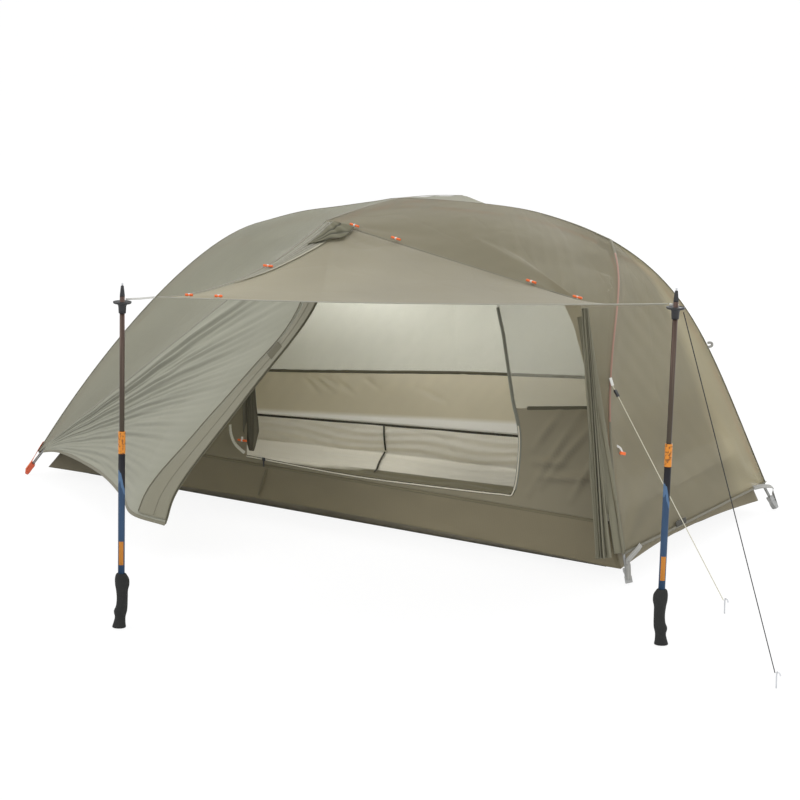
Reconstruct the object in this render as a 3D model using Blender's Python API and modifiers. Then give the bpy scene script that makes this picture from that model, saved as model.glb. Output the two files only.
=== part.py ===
"""A one-person backpacking tent, pitched, with its awning held out on two trekking poles.

X runs along the tent from the foot end (-X) to the head end (+X), the door is on the -Y side
and +Z is up. The origin is on the ground, under the middle of the floor. Lengths are in metres.
"""

import math

import bmesh
import bpy
from mathutils import Matrix, Vector
from mathutils.bvhtree import BVHTree

# Floor
FLOOR_LENGTH = 2.24
HEAD_WIDTH = 0.97
FOOT_WIDTH = 0.71
SEAM_HEIGHT = 0.03  # the floor's edge seam, which the corners pull off the ground
TUB_TOP_HEIGHTS = (0.15, 0.15, 0.18, 0.125)  # foot front, head front, head rear, foot rear
EDGE_BOW = 0.025  # how far the edge is cut inwards between the corners
EDGE_RISE = 0.014
EDGE_STEPS = 6
TUB_REST_INSET = 0.1  # where the floor comes down onto the ground
TUB_LEAN_SIDE = 0.03
TUB_LEAN_HEAD = 0.06
TUB_LEAN_FOOT = 0.1

# Pole frame: the line that the fly follows, from which the poles hang inwards
HUB_HEAD = (0.821, 0.9042)
HUB_FOOT = (-0.4949, 0.867)
BROW_X = 0.06
RIDGE_STATIONS = (  # X, and how far the ridge is below its height over the brow pole
    (-0.317, 0.067), (-0.16, 0.039), (-0.02, 0.014), (BROW_X, 0), (0.2, -0.004), (0.365, -0.002),
    (0.5, 0.005), (0.6, 0.019), (0.717, 0.046),
)
BROW_HALF = 0.404
BROW_END_HEIGHT = 0.955
BROW_ARCH = 0.984
BROW_POLE_SHARE = 0.955  # how far the brow pole reaches towards the ends of its line
TIP_SPREAD_HEAD = (0.045, 0.035)
TIP_SPREAD_FOOT = (0.075, 0.03)
TIP_HEIGHT = 0.006
LEG_RISE_HEAD_FRONT = (-0.1796, -0.0353, 0.657)  # from the tip: outwards along X and Y, and up
LEG_RISE_HEAD_REAR = (-0.221, -0.036, 0.4817)
LEG_RISE_FOOT = (-0.1809, -0.0313, 0.2948)
LEG_START_HEAD = (0.1985, 0.2, -0.1603)  # from the hub: outwards along X and Y, and up
LEG_START_FOOT = (0.1916, 0.1734, -0.0718)
POLE_RADIUS = 0.0045
POLE_WALL = 0.0009
POLE_DROP = 0.016
DROP_FADE_HEIGHT = 0.12
POLE_END_HEIGHT = {"head": 0.0062, "foot": 0.0092}
RIDGE_DROP = 0.027
SHOCK_CORD_RADIUS = 0.0013
SOCKET_CLEARANCE = 0.0006
SOCKET_WALL = 0.0024
SOCKET_LENGTH = 0.042
SOCKET_STOP = 0.013
SOCKET_PAST = 0.012  # how far past the socket's mouth a pole stays straight
SOCKET_SHARE_RIDGE = 0.05  # the points on the poles that their sockets aim at
SOCKET_SHARE_LEG = 0.2
LEG_BEND_START = 0.12
CORD_SHORT = 0.012  # how much of a pole's length its elastic leaves free at each end
SWIVEL_WALL = 0.004
SWIVEL_CLEARANCE = 0.0009
SWIVEL_BORE_REACH = 0.03

# Cloth
CLOTH = 0.0008
SEAM_GAP = 0.0025
HINGE_GAP = 0.004
FLY_HEM = 0.085
FLY_REAR_HEM_OUT = 0.085
REAR_ROWS = 13
REAR_BROW_ROWS = 4
INNER_DROP = 0.06
INNER_TOP_DROP = 0.05
INNER_BROW_INSET = 0.05
INNER_PINCH = 0.035
RIB_FOOT_CLEAR = 0.14  # how far above the tub a rib leaves its leg
PEAK_OPENING = 0.035
END_WALL_START = 0.09
END_WALL_TRIM = 0.018

# Door of the inner tent, as X and Z on its front wall
DOOR_OUTLINE = (
    (-0.277, 0.172), (0.137, 0.165), (0.437, 0.173), (0.69, 0.183), (0.733, 0.192), (0.743, 0.276),
    (0.736, 0.377), (0.704, 0.461), (0.65, 0.614), (0.604, 0.719), (0.53, 0.785), (0.25, 0.81),
    (0.0, 0.795), (-0.18, 0.71), (-0.28, 0.56), (-0.3, 0.38),
)
DOOR_SIDE_COUNT = 10  # how many of these the zip follows
DOOR_CUT_START = -0.62
DOOR_CUT_END = -0.17
DOOR_BUNDLE_TOP = (-0.31, 0.6)
DOOR_BUNDLE_FOOT = (-0.25, 0.185)
DOOR_BUNDLE_OUT = 0.032
DOOR_BUNDLE_WIDTH = 0.026
DOOR_BUNDLE_DEPTH = 0.012
ZIP_RADIUS = 0.0018
ZIP_STAND_OFF = 0.0025
SLIDER_START = -0.2
SLIDER_END = 0.66
SLIDER_GAP = 0.0006
SLIDER_SIZE = (0.012, 0.004, 0.03)

# Awning and vestibule, in world metres
AWNING_LEFT = (0.288, -1.535, 0.885)
AWNING_RIGHT = (1.485, -0.975, 0.893)
EAVE_RIGHT = (0.958, -0.45, 0.787)
AWNING_EDGE_SAG = 0.055
AWNING_HEM_SAG = 0.008
AWNING_FOLDS = 4
AWNING_FOLD_HEIGHT = 0.007
PANEL_HEM = (
    (-0.976, -0.45, 0.117), (-0.642, -0.66, 0.131), (-0.408, -0.84, 0.123), (-0.282, -0.95, 0.106),
    (-0.107, -1.015, 0.11),
)
PANEL_EDGE = ((0.159, -0.6, 0.743), (0.0145, -0.75, 0.471), (-0.1, -0.94, 0.22))
PANEL_START = 0.03  # the panel's point is cut off at this share of its edges
PANEL_FOLDS = 5
PANEL_FOLD_HEIGHT = 0.011
FLAP_TOP = (0.958, -0.476, 0.752)
FLAP_FOOT = (1.086, -0.546, 0.078)
FLAP_WIDTH = 0.03
FLAP_DEPTH = 0.011

# Corner hardware
BUCKLE_SIZE = (0.044, 0.021, 0.0145)
BUCKLE_END = 0.0028
BUCKLE_CLEARANCE = 0.0006
STRAP_WIDTH = 0.014
STRAP_THICKNESS = 0.0016
STRAP_GAP = 0.0006
STRAP_FLY_GAP = 0.003
STRAP_TURN = {"head": Vector((0.5, 0, 0)), "foot": Vector((-0.5, 0, 0))}  # towards the end panel
STRAP_FLY_HEIGHTS = (0.118, 0.092)
STRAP_ABOVE_TIP = 0.006

# Roll-up toggles on the eave, as a share of the eave's length, and the tie-back on the leg
TOGGLE_SHARES = (0.12, 0.29, 0.82)
TOGGLE_LENGTH = 0.034
TOGGLE_RADIUS = 0.0035
TOGGLE_STEM = 0.012
TOGGLE_STAND_OFF = 0.0095
TOGGLE_BEVEL = 0.0006
TIE_TOGGLE = (-0.262, 0.245)

# Trekking poles: foot on the ground, and how far the top leans
POLE_FEET = {"left": (0.214, -1.624), "right": (1.493, -1.0)}
POLE_LENGTHS = {"left": 0.927, "right": 0.937}
POLE_LEAN = (0.021, 0.013)
GRIP_LENGTH = 0.15
UPPER_START = 0.07
UPPER_END = 0.474
UPPER_RADIUS = 0.009
UPPER_WALL = 0.0012
COLLAR_LENGTH = 0.06
COLLAR_RADIUS = 0.0098
LOWER_START = 0.33
LOWER_RADIUS = 0.0068
TIP_LENGTH = 0.036
BASKET_BELOW_TOP = 0.05
BASKET_RADIUS = 0.024
BASKET_HUB_RADIUS = 0.0105
BASKET_HUB_LENGTH = 0.03
AWNING_CORD_ABOVE = 0.006
AWNING_CORD_RADIUS = 0.0016
AWNING_CORD_SHORT = 0.006  # the gap that it leaves at the awning's corner
AWNING_CORD_SAG = 0.001
FIT = 0.0004

# Cords: routes chosen by hand
GUYLINE_RADIUS = 0.0013
HEAD_GUYLINE = (
    (1.036, -0.396, 0.545), (1.0741, -0.4158, 0.5043), (1.1312, -0.4454, 0.4432),
    (1.1883, -0.475, 0.3821), (1.2454, -0.5047, 0.321), (1.3026, -0.5343, 0.26),
    (1.3597, -0.564, 0.1989), (1.4168, -0.5936, 0.1378), (1.4644, -0.6183, 0.0869), (1.512, -0.643, 0.036),
)
POLE_GUYLINE = (
    (1.541, -1.001, 0.88), (1.575, -1.0172, 0.7974), (1.615, -1.0363, 0.7003), (1.655, -1.0553, 0.6031),
    (1.695, -1.0744, 0.506), (1.735, -1.0935, 0.4089), (1.775, -1.1125, 0.3117), (1.815, -1.1316, 0.2146),
    (1.855, -1.1507, 0.1174), (1.888, -1.1664, 0.0373),
)
PEG_RADIUS = 0.002
PEG_HEIGHT = 0.042
PEG_HOOK = 0.012
PEG_BEHIND_LINE = 0.006
TENSIONER_SHARE = 0.045
TENSIONER_SIZE = (0.024, 0.009, 0.007)
INSIDE = Vector((0, 0, 0.35))
LEG_INSIDE = {"head": Vector((0.75, 0, 0.35)), "foot": Vector((-0.6, 0, 0.25))}

OLIVE_FLY = (0.36, 0.35, 0.27)
PALE_INNER = (0.52, 0.51, 0.43)
DARK_TUB = (0.2, 0.19, 0.13)
ORANGE = (0.8, 0.16, 0.03)
PALE_GREY = (0.55, 0.55, 0.56)


def clear_scene():
    for old in list(bpy.data.objects):
        bpy.data.objects.remove(old, do_unlink=True)


clear_scene()
TENT = bpy.data.collections.new("backpacking_tent")
CUTTERS = bpy.data.collections.new("cutters")
bpy.context.scene.collection.children.link(TENT)
bpy.context.scene.collection.children.link(CUTTERS)


def finish(name, colour, roughness, metallic=0.0):
    """A plain surface of the piece's own colour."""
    material = bpy.data.materials.new(name)
    material.use_nodes = True
    shader = material.node_tree.nodes["Principled BSDF"]
    shader.inputs["Base Color"].default_value = (*colour, 1)
    shader.inputs["Roughness"].default_value = roughness
    shader.inputs["Metallic"].default_value = metallic
    material.diffuse_color = (*colour, 1)
    return material


def add_piece(name, data, look):
    piece = bpy.data.objects.new(name, data)
    TENT.objects.link(piece)
    if look:
        data.materials.append(look)
    return piece


# Paths are lists of Vectors, and shares run from 0 to 1 along their length.

def smooth_path(points, steps=8):
    """A Catmull-Rom curve through the points."""
    knots = [Vector(point) for point in points]
    padded = [2 * knots[0] - knots[1], *knots, 2 * knots[-1] - knots[-2]]
    path = []
    for before, start, end, after in zip(padded, padded[1:], padded[2:], padded[3:]):
        for step in range(steps):
            t = step / steps
            path.append(0.5 * (
                2 * start + (end - before) * t
                + (2 * before - 5 * start + 4 * end - after) * t ** 2
                + (3 * start - before - 3 * end + after) * t ** 3
            ))
    return path + [knots[-1]]


def bezier_path(start, start_handle, end_handle, end, steps=28):
    path = []
    for step in range(steps + 1):
        t = step / steps
        path.append(
            (1 - t) ** 3 * start + 3 * (1 - t) ** 2 * t * start_handle
            + 3 * (1 - t) * t ** 2 * end_handle + t ** 3 * end
        )
    return path


def at(path, share):
    """The point at this share of the path's length."""
    lengths = [(b - a).length for a, b in zip(path, path[1:])]
    left = max(0.0, min(1.0, share)) * sum(lengths)
    for index, length in enumerate(lengths):
        if left <= length or index == len(lengths) - 1:
            return path[index].lerp(path[index + 1], min(1.0, left / max(length, 1e-9)))
        left -= length


def stretch(path, count, start=0.0, end=1.0):
    """Evenly spaced points on part of the path."""
    return [at(path, start + (end - start) * step / (count - 1)) for step in range(count)]


def cut_at_height(path, height):
    """The start of a falling path, ending where it first reaches this height."""
    kept = [path[0]]
    for a, b in zip(path, path[1:]):
        if b.z <= height:
            kept.append(a.lerp(b, (a.z - height) / (a.z - b.z)))
            return kept
        kept.append(b)
    return kept


def square_to(vector, direction):
    return (vector - direction * vector.dot(direction)).normalized()


def drawn_in(path, end, drop_at):
    """A leg's path moved in under the fly, square to itself, by a drop that follows the height."""
    target = LEG_INSIDE[end]
    moved = []
    for index, point in enumerate(path):
        ahead = path[min(index + 1, len(path) - 1)] - path[max(index - 1, 0)]
        moved.append(point + square_to(target - point, ahead.normalized()) * drop_at(point.z))
    return moved


def path_length(path):
    return sum((b - a).length for a, b in zip(path, path[1:]))


# Lines of the pitched tent

def tip_point(end, side):
    if end == "head":
        spread_x, spread_y = TIP_SPREAD_HEAD
        return Vector((FLOOR_LENGTH / 2 + spread_x, side * (HEAD_WIDTH / 2 + spread_y), TIP_HEIGHT))
    spread_x, spread_y = TIP_SPREAD_FOOT
    return Vector((-FLOOR_LENGTH / 2 - spread_x, side * (FOOT_WIDTH / 2 + spread_y), TIP_HEIGHT))


def hub_point(end):
    x, z = HUB_HEAD if end == "head" else HUB_FOOT
    return Vector((x, 0, z))


LEG_RISE = {
    ("head", -1): LEG_RISE_HEAD_FRONT, ("head", 1): LEG_RISE_HEAD_REAR,
    ("foot", -1): LEG_RISE_FOOT, ("foot", 1): LEG_RISE_FOOT,
}


def leg_line(end, side):
    """From the hub down to the tip, as the fly lies over the leg."""
    outwards = 1 if end == "head" else -1
    rise = LEG_RISE[end, side]
    start = LEG_START_HEAD if end == "head" else LEG_START_FOOT
    hub = hub_point(end)
    tip = tip_point(end, side)
    hub_handle = hub + Vector((outwards * start[0], side * start[1], start[2]))
    tip_handle = tip + Vector((outwards * rise[0], side * rise[1], rise[2]))
    return bezier_path(hub, hub_handle, tip_handle, tip)


RIDGE_LINE = smooth_path(
    [hub_point("foot"), *[(x, 0, BROW_ARCH - drop) for x, drop in RIDGE_STATIONS], hub_point("head")]
)
PEAK = Vector((BROW_X, 0, BROW_ARCH))


def ridge_between(start_x, end_x):
    inner = [p for p in RIDGE_LINE if start_x + 0.01 < p.x < end_x - 0.01]
    first = min(RIDGE_LINE, key=lambda p: abs(p.x - start_x))
    last = min(RIDGE_LINE, key=lambda p: abs(p.x - end_x))
    return [first, *inner, last]


def brow_half(side):
    """From the ridge out to the brow pole's end."""
    end = Vector((BROW_X, side * BROW_HALF, BROW_END_HEIGHT))
    middle = PEAK.lerp(end, 0.5) + Vector((0, 0, 0.004))
    return smooth_path([PEAK, middle, end], 5)


def floor_ring(inset_side, inset_head, inset_foot, heights):
    """The corners of the floor's outline, drawn in by these distances."""
    head_x = FLOOR_LENGTH / 2 - inset_head
    foot_x = -FLOOR_LENGTH / 2 + inset_foot
    head_y = HEAD_WIDTH / 2 - inset_side
    foot_y = FOOT_WIDTH / 2 - inset_side
    corners = ((foot_x, -foot_y), (head_x, -head_y), (head_x, head_y), (foot_x, foot_y))
    return [Vector((x, y, height)) for (x, y), height in zip(corners, heights)]


TUB_TOP = floor_ring(TUB_LEAN_SIDE, TUB_LEAN_HEAD, TUB_LEAN_FOOT, TUB_TOP_HEIGHTS)
EAVE_LEFT = Vector((BROW_X, -BROW_HALF, BROW_END_HEIGHT))
EAVE_END = Vector(EAVE_RIGHT)
FLY_CORNERS = {
    (end, side): cut_at_height(leg_line(end, side), FLY_HEM)
    for end in ("head", "foot") for side in (-1, 1)
}
PANEL_HINGE_FOOT = FLY_CORNERS["foot", -1][-1]


# Cloth sheets

TREES = {}


def across(top, bottom, left, right):
    """A surface that fills the space between four border paths (a Coons patch)."""
    corners = (top[0], top[-1], bottom[0], bottom[-1])

    def surface(u, v):
        ruled = (at(top, u) * (1 - v) + at(bottom, u) * v) + (at(left, v) * (1 - u) + at(right, v) * u)
        square = (
            (corners[0] * (1 - u) + corners[1] * u) * (1 - v)
            + (corners[2] * (1 - u) + corners[3] * u) * v
        )
        return ruled - square

    return surface


def side_by_side(left_surface, right_surface):
    def surface(u, v):
        if u <= 0.5:
            return left_surface(2 * u, v)
        return right_surface(2 * u - 1, v)

    return surface


def bent(surface, row, share):
    """The surface with its rows moved, so that one row lies where the rib turns down."""
    def moved(u, v):
        if v < row:
            return surface(u, v * share / row)
        return surface(u, share + (v - row) * (1 - share) / (1 - row))

    return moved


def between(left, right):
    def surface(u, v):
        return at(left, v).lerp(at(right, v), u)

    return surface


def sheet(name, surface, columns, rows, look, trims=(SEAM_GAP,) * 4, spans=(1.0, 1.0), facing=INSIDE):
    """A sheet of cloth whose outer face is the surface. Trims keep its left, right, top and
    bottom edges back from its neighbours, and spans are its rough width and height."""
    wide, tall = spans
    left, right, top, bottom = (trim / span for trim, span in zip(trims, (wide, wide, tall, tall)))
    cage = bmesh.new()
    bmesh.ops.create_grid(cage, x_segments=columns, y_segments=rows, size=0.5)
    for vertex in cage.verts:
        u = left + (1 - left - right) * (vertex.co.x + 0.5)
        v = top + (1 - top - bottom) * (vertex.co.y + 0.5)
        vertex.co = surface(u, v)
    bmesh.ops.triangulate(cage, faces=cage.faces)
    cage.normal_update()
    TREES[name] = BVHTree.FromBMesh(cage)
    if sum(f.normal.dot(f.calc_center_median() - facing) for f in cage.faces) < 0:
        bmesh.ops.reverse_faces(cage, faces=cage.faces)
    return cloth_piece(name, cage, look)


def cloth_piece(name, cage, look):
    """A piece of cloth from a cage of its outer face."""
    piece = add_piece(name, mesh_of(name, cage), look)
    wall = piece.modifiers.new("cloth", "SOLIDIFY")
    wall.thickness = CLOTH
    wall.offset = -1
    return piece


def tube(name, path, radius, look, sides=2, wall=0.0):
    """A rod along the path, or a tube where a wall is given."""
    curve = bpy.data.curves.new(name, "CURVE")
    curve.dimensions = "3D"
    curve.bevel_depth = radius
    curve.bevel_resolution = sides
    curve.use_fill_caps = wall == 0
    line = curve.splines.new("POLY")
    line.points.add(len(path) - 1)
    for point, place in zip(line.points, path):
        point.co = (*place, 1)
    piece = add_piece(name, curve, look)
    if wall:
        shell = piece.modifiers.new("wall", "SOLIDIFY")
        shell.thickness = wall
        shell.offset = -1
    return piece


def drop_object(piece):
    """A helper that has been turned into something else."""
    bpy.data.objects.remove(piece, do_unlink=True)


def plain_mesh(piece, name):
    """The finished shape of an object as a mesh of its own, with its caps welded."""
    bpy.context.view_layer.update()
    graph = bpy.context.evaluated_depsgraph_get()
    mesh = bpy.data.meshes.new_from_object(piece.evaluated_get(graph))
    mesh.transform(piece.matrix_world)
    mesh.name = name
    soup = bmesh.new()
    soup.from_mesh(mesh)
    bmesh.ops.remove_doubles(soup, verts=soup.verts, dist=1e-6)
    soup.to_mesh(mesh)
    soup.free()
    drop_object(piece)
    return mesh


def mesh_of(name, cage):
    mesh = bpy.data.meshes.new(name)
    cage.to_mesh(mesh)
    cage.free()
    return mesh


def hidden_tool(name, mesh):
    """A helper shape for a Boolean, kept out of the tent."""
    tool = bpy.data.objects.new(name, mesh)
    CUTTERS.objects.link(tool)
    tool.hide_render = True
    tool.display_type = "WIRE"
    return tool


def cutter(piece, name):
    return hidden_tool(name, plain_mesh(piece, name))


def combine(piece, tool, operation):
    step = piece.modifiers.new(tool.name, "BOOLEAN")
    step.operation = operation
    step.object = tool
    step.solver = "EXACT"


def rod_cutter(name, start, end, radius, sides=4):
    return cutter(tube(name, [Vector(start), Vector(end)], radius, None, sides), name)


def box(name, size, centre, axes, look, bevel=0.0):
    """A block of this size whose own X, Y and Z run along the axes."""
    cage = bmesh.new()
    bmesh.ops.create_cube(cage, size=1)
    bmesh.ops.scale(cage, vec=size, verts=cage.verts)
    piece = add_piece(name, mesh_of(name, cage), look)
    place = Matrix([[axes[column][row] for column in range(3)] for row in range(3)]).to_4x4()
    place.translation = centre
    piece.matrix_world = place
    if bevel:
        edge = piece.modifiers.new("edges", "BEVEL")
        edge.width = bevel
        edge.segments = 1
    return piece


def axes_along(direction, up_hint=(0, 0, 1)):
    forward = Vector(direction).normalized()
    side = Vector(up_hint).cross(forward)
    if side.length < 1e-6:
        side = Vector((0, 1, 0)).cross(forward)
    side.normalize()
    return forward, side, forward.cross(side)


def turned(name, profile, foot, axis, look, steps=16):
    """A turned piece: radius and height pairs, from the top down, about a leaning axis."""
    outline = bmesh.new()
    points = [outline.verts.new((radius, 0, height)) for radius, height in profile]
    for a, b in zip(points, points[1:]):
        outline.edges.new((a, b))
    piece = add_piece(name, mesh_of(name, outline), look)
    spin = piece.modifiers.new("turn", "SCREW")
    spin.steps = spin.render_steps = steps
    spin.use_merge_vertices = True
    spin.merge_threshold = 0.0001
    up = Vector(axis).normalized()
    side = Vector((0, 1, 0)).cross(up).normalized()
    place = Matrix([[side[row], up.cross(side)[row], up[row]] for row in range(3)]).to_4x4()
    place.translation = foot
    piece.matrix_world = place
    return piece


# Pole frame

def build_frame():
    anodised = finish("pole_anodised", (0.62, 0.2, 0.09), 0.35, 0.9)
    elastic = finish("shock_cord_white", (0.7, 0.7, 0.68), 0.9)
    moulded = finish("hub_moulded", (0.05, 0.05, 0.05), 0.5)

    legs = {(end, side): pole_route(end, side) for end in ("head", "foot") for side in (-1, 1)}
    ridge = [p - Vector((0, 0, RIDGE_DROP)) for p in RIDGE_LINE]
    hubs = {"head": ridge[-1], "foot": ridge[0]}
    roots = {}
    for end, near_hub in (("head", 1 - SOCKET_SHARE_RIDGE), ("foot", SOCKET_SHARE_RIDGE)):
        arms = {"ridge": (at(ridge, near_hub) - hubs[end]).normalized()}
        for side in (-1, 1):
            arms[side] = (at(legs[end, side], SOCKET_SHARE_LEG) - hubs[end]).normalized()
        roots[end] = arms
        build_hub(end, hubs[end], arms, moulded)

    for (end, side), leg in legs.items():
        word = "front" if side < 0 else "rear"
        direction = roots[end][side]
        hub = hubs[end]
        route = in_socket(hub, direction) + leg_stations(end, side)
        pole_with_cord("leg_pole", f"{end}_{word}", route, anodised, elastic)

    spare = SOCKET_SHARE_RIDGE * 1.5
    route_of_ridge = [
        *in_socket(hubs["foot"], roots["foot"]["ridge"]),
        *stretch(ridge, 18, spare, 1 - spare),
        *reversed(in_socket(hubs["head"], roots["head"]["ridge"])),
    ]
    pole_with_cord("ridge_pole", "ridge", route_of_ridge, anodised, elastic)

    halves = [
        [p - Vector((0, 0, POLE_DROP)) for p in stretch(brow_half(side), 8, 0.0, BROW_POLE_SHARE)]
        for side in (-1, 1)
    ]
    pole_with_cord("brow_pole", "brow", [*reversed(halves[0]), *halves[1][1:]], anodised, elastic)

    build_swivel(route_of_ridge, moulded)


def in_socket(hub, direction):
    """The straight start of a pole, from its stop in the hub to just past the socket's mouth."""
    return [hub + direction * SOCKET_STOP, hub + direction * (SOCKET_LENGTH + SOCKET_PAST)]


def pole_with_cord(kind, place, route, pole_look, cord_look):
    """A hollow pole and the elastic that runs inside it."""
    name = f"{kind}_{place}" if kind == "leg_pole" else kind
    tube(name, route, POLE_RADIUS, pole_look, 2, POLE_WALL)
    inside = stretch(route, 2, CORD_SHORT, 1 - CORD_SHORT)
    tube(f"shock_cord_{place}", shifted_to(route, inside), SHOCK_CORD_RADIUS, cord_look, 1)


def leg_stations(end, side):
    return stretch(pole_route(end, side), 17, LEG_BEND_START)


def shifted_to(route, points):
    """Points that lie on the route's own straight runs, corners included."""
    total = path_length(route)
    first = (points[0] - route[0]).length / total
    last = 1 - (points[-1] - route[-1]).length / total
    run = 0.0
    kept = [points[0]]
    for a, b in zip(route, route[1:]):
        run += (b - a).length
        if first < run / total < last:
            kept.append(b)
    kept.append(points[-1])
    return kept


def build_hub(end, centre, arms, look):
    """A three-way hub: a socket for the ridge pole and one for each leg."""
    socket_radius = POLE_RADIUS + SOCKET_CLEARANCE + SOCKET_WALL
    name = f"hub_{end}"
    body = None
    for label, direction in arms.items():
        mouth = centre + direction * SOCKET_LENGTH
        arm = tube(f"{name}_arm_{label}", [centre, mouth], socket_radius, None, 3)
        if body is None:
            body = add_piece(name, plain_mesh(arm, name), look)
        else:
            combine(body, cutter(arm, f"{name}_arm_{label}"), "UNION")
    knuckle = bmesh.new()
    bmesh.ops.create_icosphere(
        knuckle, subdivisions=2, radius=socket_radius * 1.25, matrix=Matrix.Translation(centre),
    )
    combine(body, hidden_tool(f"{name}_knuckle", mesh_of(f"{name}_knuckle", knuckle)), "UNION")
    for label, direction in arms.items():
        bore = rod_cutter(
            f"{name}_bore_{label}", centre + direction * (SOCKET_STOP - SOCKET_CLEARANCE),
            centre + direction * (SOCKET_LENGTH + SOCKET_PAST), POLE_RADIUS + SOCKET_CLEARANCE,
        )
        combine(body, bore, "DIFFERENCE")


def build_swivel(ridge, look):
    """The clip that holds the brow pole across the ridge pole."""
    before, after = next((a, b) for a, b in zip(ridge, ridge[1:]) if a.x <= BROW_X < b.x)
    under = before.lerp(after, (BROW_X - before.x) / (after.x - before.x))
    along = (after - before).normalized() * SWIVEL_BORE_REACH
    across_it = Vector((0, SWIVEL_BORE_REACH, 0))
    over = PEAK - Vector((0, 0, POLE_DROP))
    wide = 2 * (POLE_RADIUS + SWIVEL_WALL)
    middle = (under + over) / 2
    tall = (over - under).length + wide
    block = box("brow_swivel", (wide * 1.1, wide * 1.1, tall), middle, axes_along((1, 0, 0)), look, 0.002)
    bore = POLE_RADIUS + SWIVEL_CLEARANCE
    combine(block, rod_cutter("swivel_bore_ridge", under - along, under + along, bore), "DIFFERENCE")
    combine(block, rod_cutter("swivel_bore_brow", over - across_it, over + across_it, bore), "DIFFERENCE")


# Inner tent

def bowed(ring, inset, rise):
    """The ring with points along its sides, drawn in between the corners as cut cloth is."""
    points = []
    for index, corner in enumerate(ring):
        following = ring[(index + 1) % 4]
        side = (following - corner).normalized()
        inwards = Vector((-side.y, side.x, 0))
        for step in range(EDGE_STEPS):
            share = step / EDGE_STEPS
            reach = math.sin(math.pi * share)
            point = corner.lerp(following, share) + Vector((0, 0, rise * reach))
            points.append(point + inwards * inset * reach)
    return points


def build_tub(look):
    """The bathtub floor: flat on the ground, up to the edge seam, then up its leaning wall."""
    rings = [
        floor_ring(TUB_REST_INSET, TUB_REST_INSET, TUB_REST_INSET, (0,) * 4),
        floor_ring(0, 0, 0, (SEAM_HEIGHT,) * 4),
        TUB_TOP,
    ]
    cage = bmesh.new()
    bows = ((0, 0), (EDGE_BOW, EDGE_RISE), (0, 0))
    loops = [[cage.verts.new(point) for point in bowed(ring, *bow)] for ring, bow in zip(rings, bows)]
    cage.faces.new(reversed(loops[0]))
    for lower, upper in zip(loops, loops[1:]):
        for index in range(len(lower)):
            following = (index + 1) % len(lower)
            cage.faces.new((lower[index], lower[following], upper[following], upper[index]))
    bmesh.ops.recalc_face_normals(cage, faces=cage.faces)
    if min(cage.faces, key=lambda f: f.calc_center_median().z).normal.z > 0:
        bmesh.ops.reverse_faces(cage, faces=cage.faces)
    cloth_piece("inner_floor", cage, look)


def inner_rib(end, side):
    """A line of the inner canopy under a leg, from its hub down to the tub's corner."""
    corner = TUB_TOP[{("foot", -1): 0, ("head", -1): 1, ("head", 1): 2, ("foot", 1): 3}[end, side]]
    leg = drawn_in(leg_line(end, side), end, lambda height: INNER_DROP)
    above = [
        Vector((p.x, side * max(0.0, side * p.y), p.z))
        for p in stretch(leg, 12) if p.z > corner.z + RIB_FOOT_CLEAR
    ]
    foot = corner + Vector((0, 0, SEAM_GAP))
    return smooth_path([*above, foot], 3)


def inner_mid_rib(side):
    top = PEAK - Vector((0, 0, INNER_TOP_DROP + RIDGE_DROP))
    share = (BROW_X - TUB_TOP[0].x) / (TUB_TOP[1].x - TUB_TOP[0].x)
    corners = (TUB_TOP[0], TUB_TOP[1]) if side < 0 else (TUB_TOP[3], TUB_TOP[2])
    foot = corners[0].lerp(corners[1], share) + Vector((0, 0, SEAM_GAP))
    shoulder = Vector((BROW_X, side * (BROW_HALF - INNER_BROW_INSET), BROW_END_HEIGHT - INNER_BROW_INSET))
    near_top = top.lerp(shoulder, 0.75) + Vector((0, 0, 0.012))
    turn = shoulder + Vector((0, side * 0.012, -0.03))
    return smooth_path([top, near_top, turn, foot.lerp(shoulder, 0.5), foot], 6)


def inner_side(side):
    foot_rib = inner_rib("foot", side)
    head_rib = inner_rib("head", side)
    mid_rib = inner_mid_rib(side)
    drop = Vector((0, 0, INNER_TOP_DROP + RIDGE_DROP))
    ridge = [p - drop for p in RIDGE_LINE]
    to_mid = smooth_path([foot_rib[0], at(ridge, 0.2), mid_rib[0]])
    to_head = smooth_path([mid_rib[0], at(ridge, 0.75), head_rib[0]])
    left = across(to_mid, [foot_rib[-1], mid_rib[-1]], foot_rib, mid_rib)
    right = across(to_head, [mid_rib[-1], head_rib[-1]], mid_rib, head_rib)

    def pinched(u, v):
        """Drawn in between its ribs, where the fly's flat side comes nearest."""
        inward = Vector((0, -side, -1)) * INNER_PINCH
        return left(u, v) + inward * math.sin(math.pi * u) * math.sin(math.pi * v) ** 2

    return side_by_side(pinched, right)


def front_wall_y(x, z):
    """Where the front wall's outer face is, at this X and Z."""
    return TREES["inner_front_wall"].ray_cast(Vector((x, -1, z)), Vector((0, 1, 0)))[0].y


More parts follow.
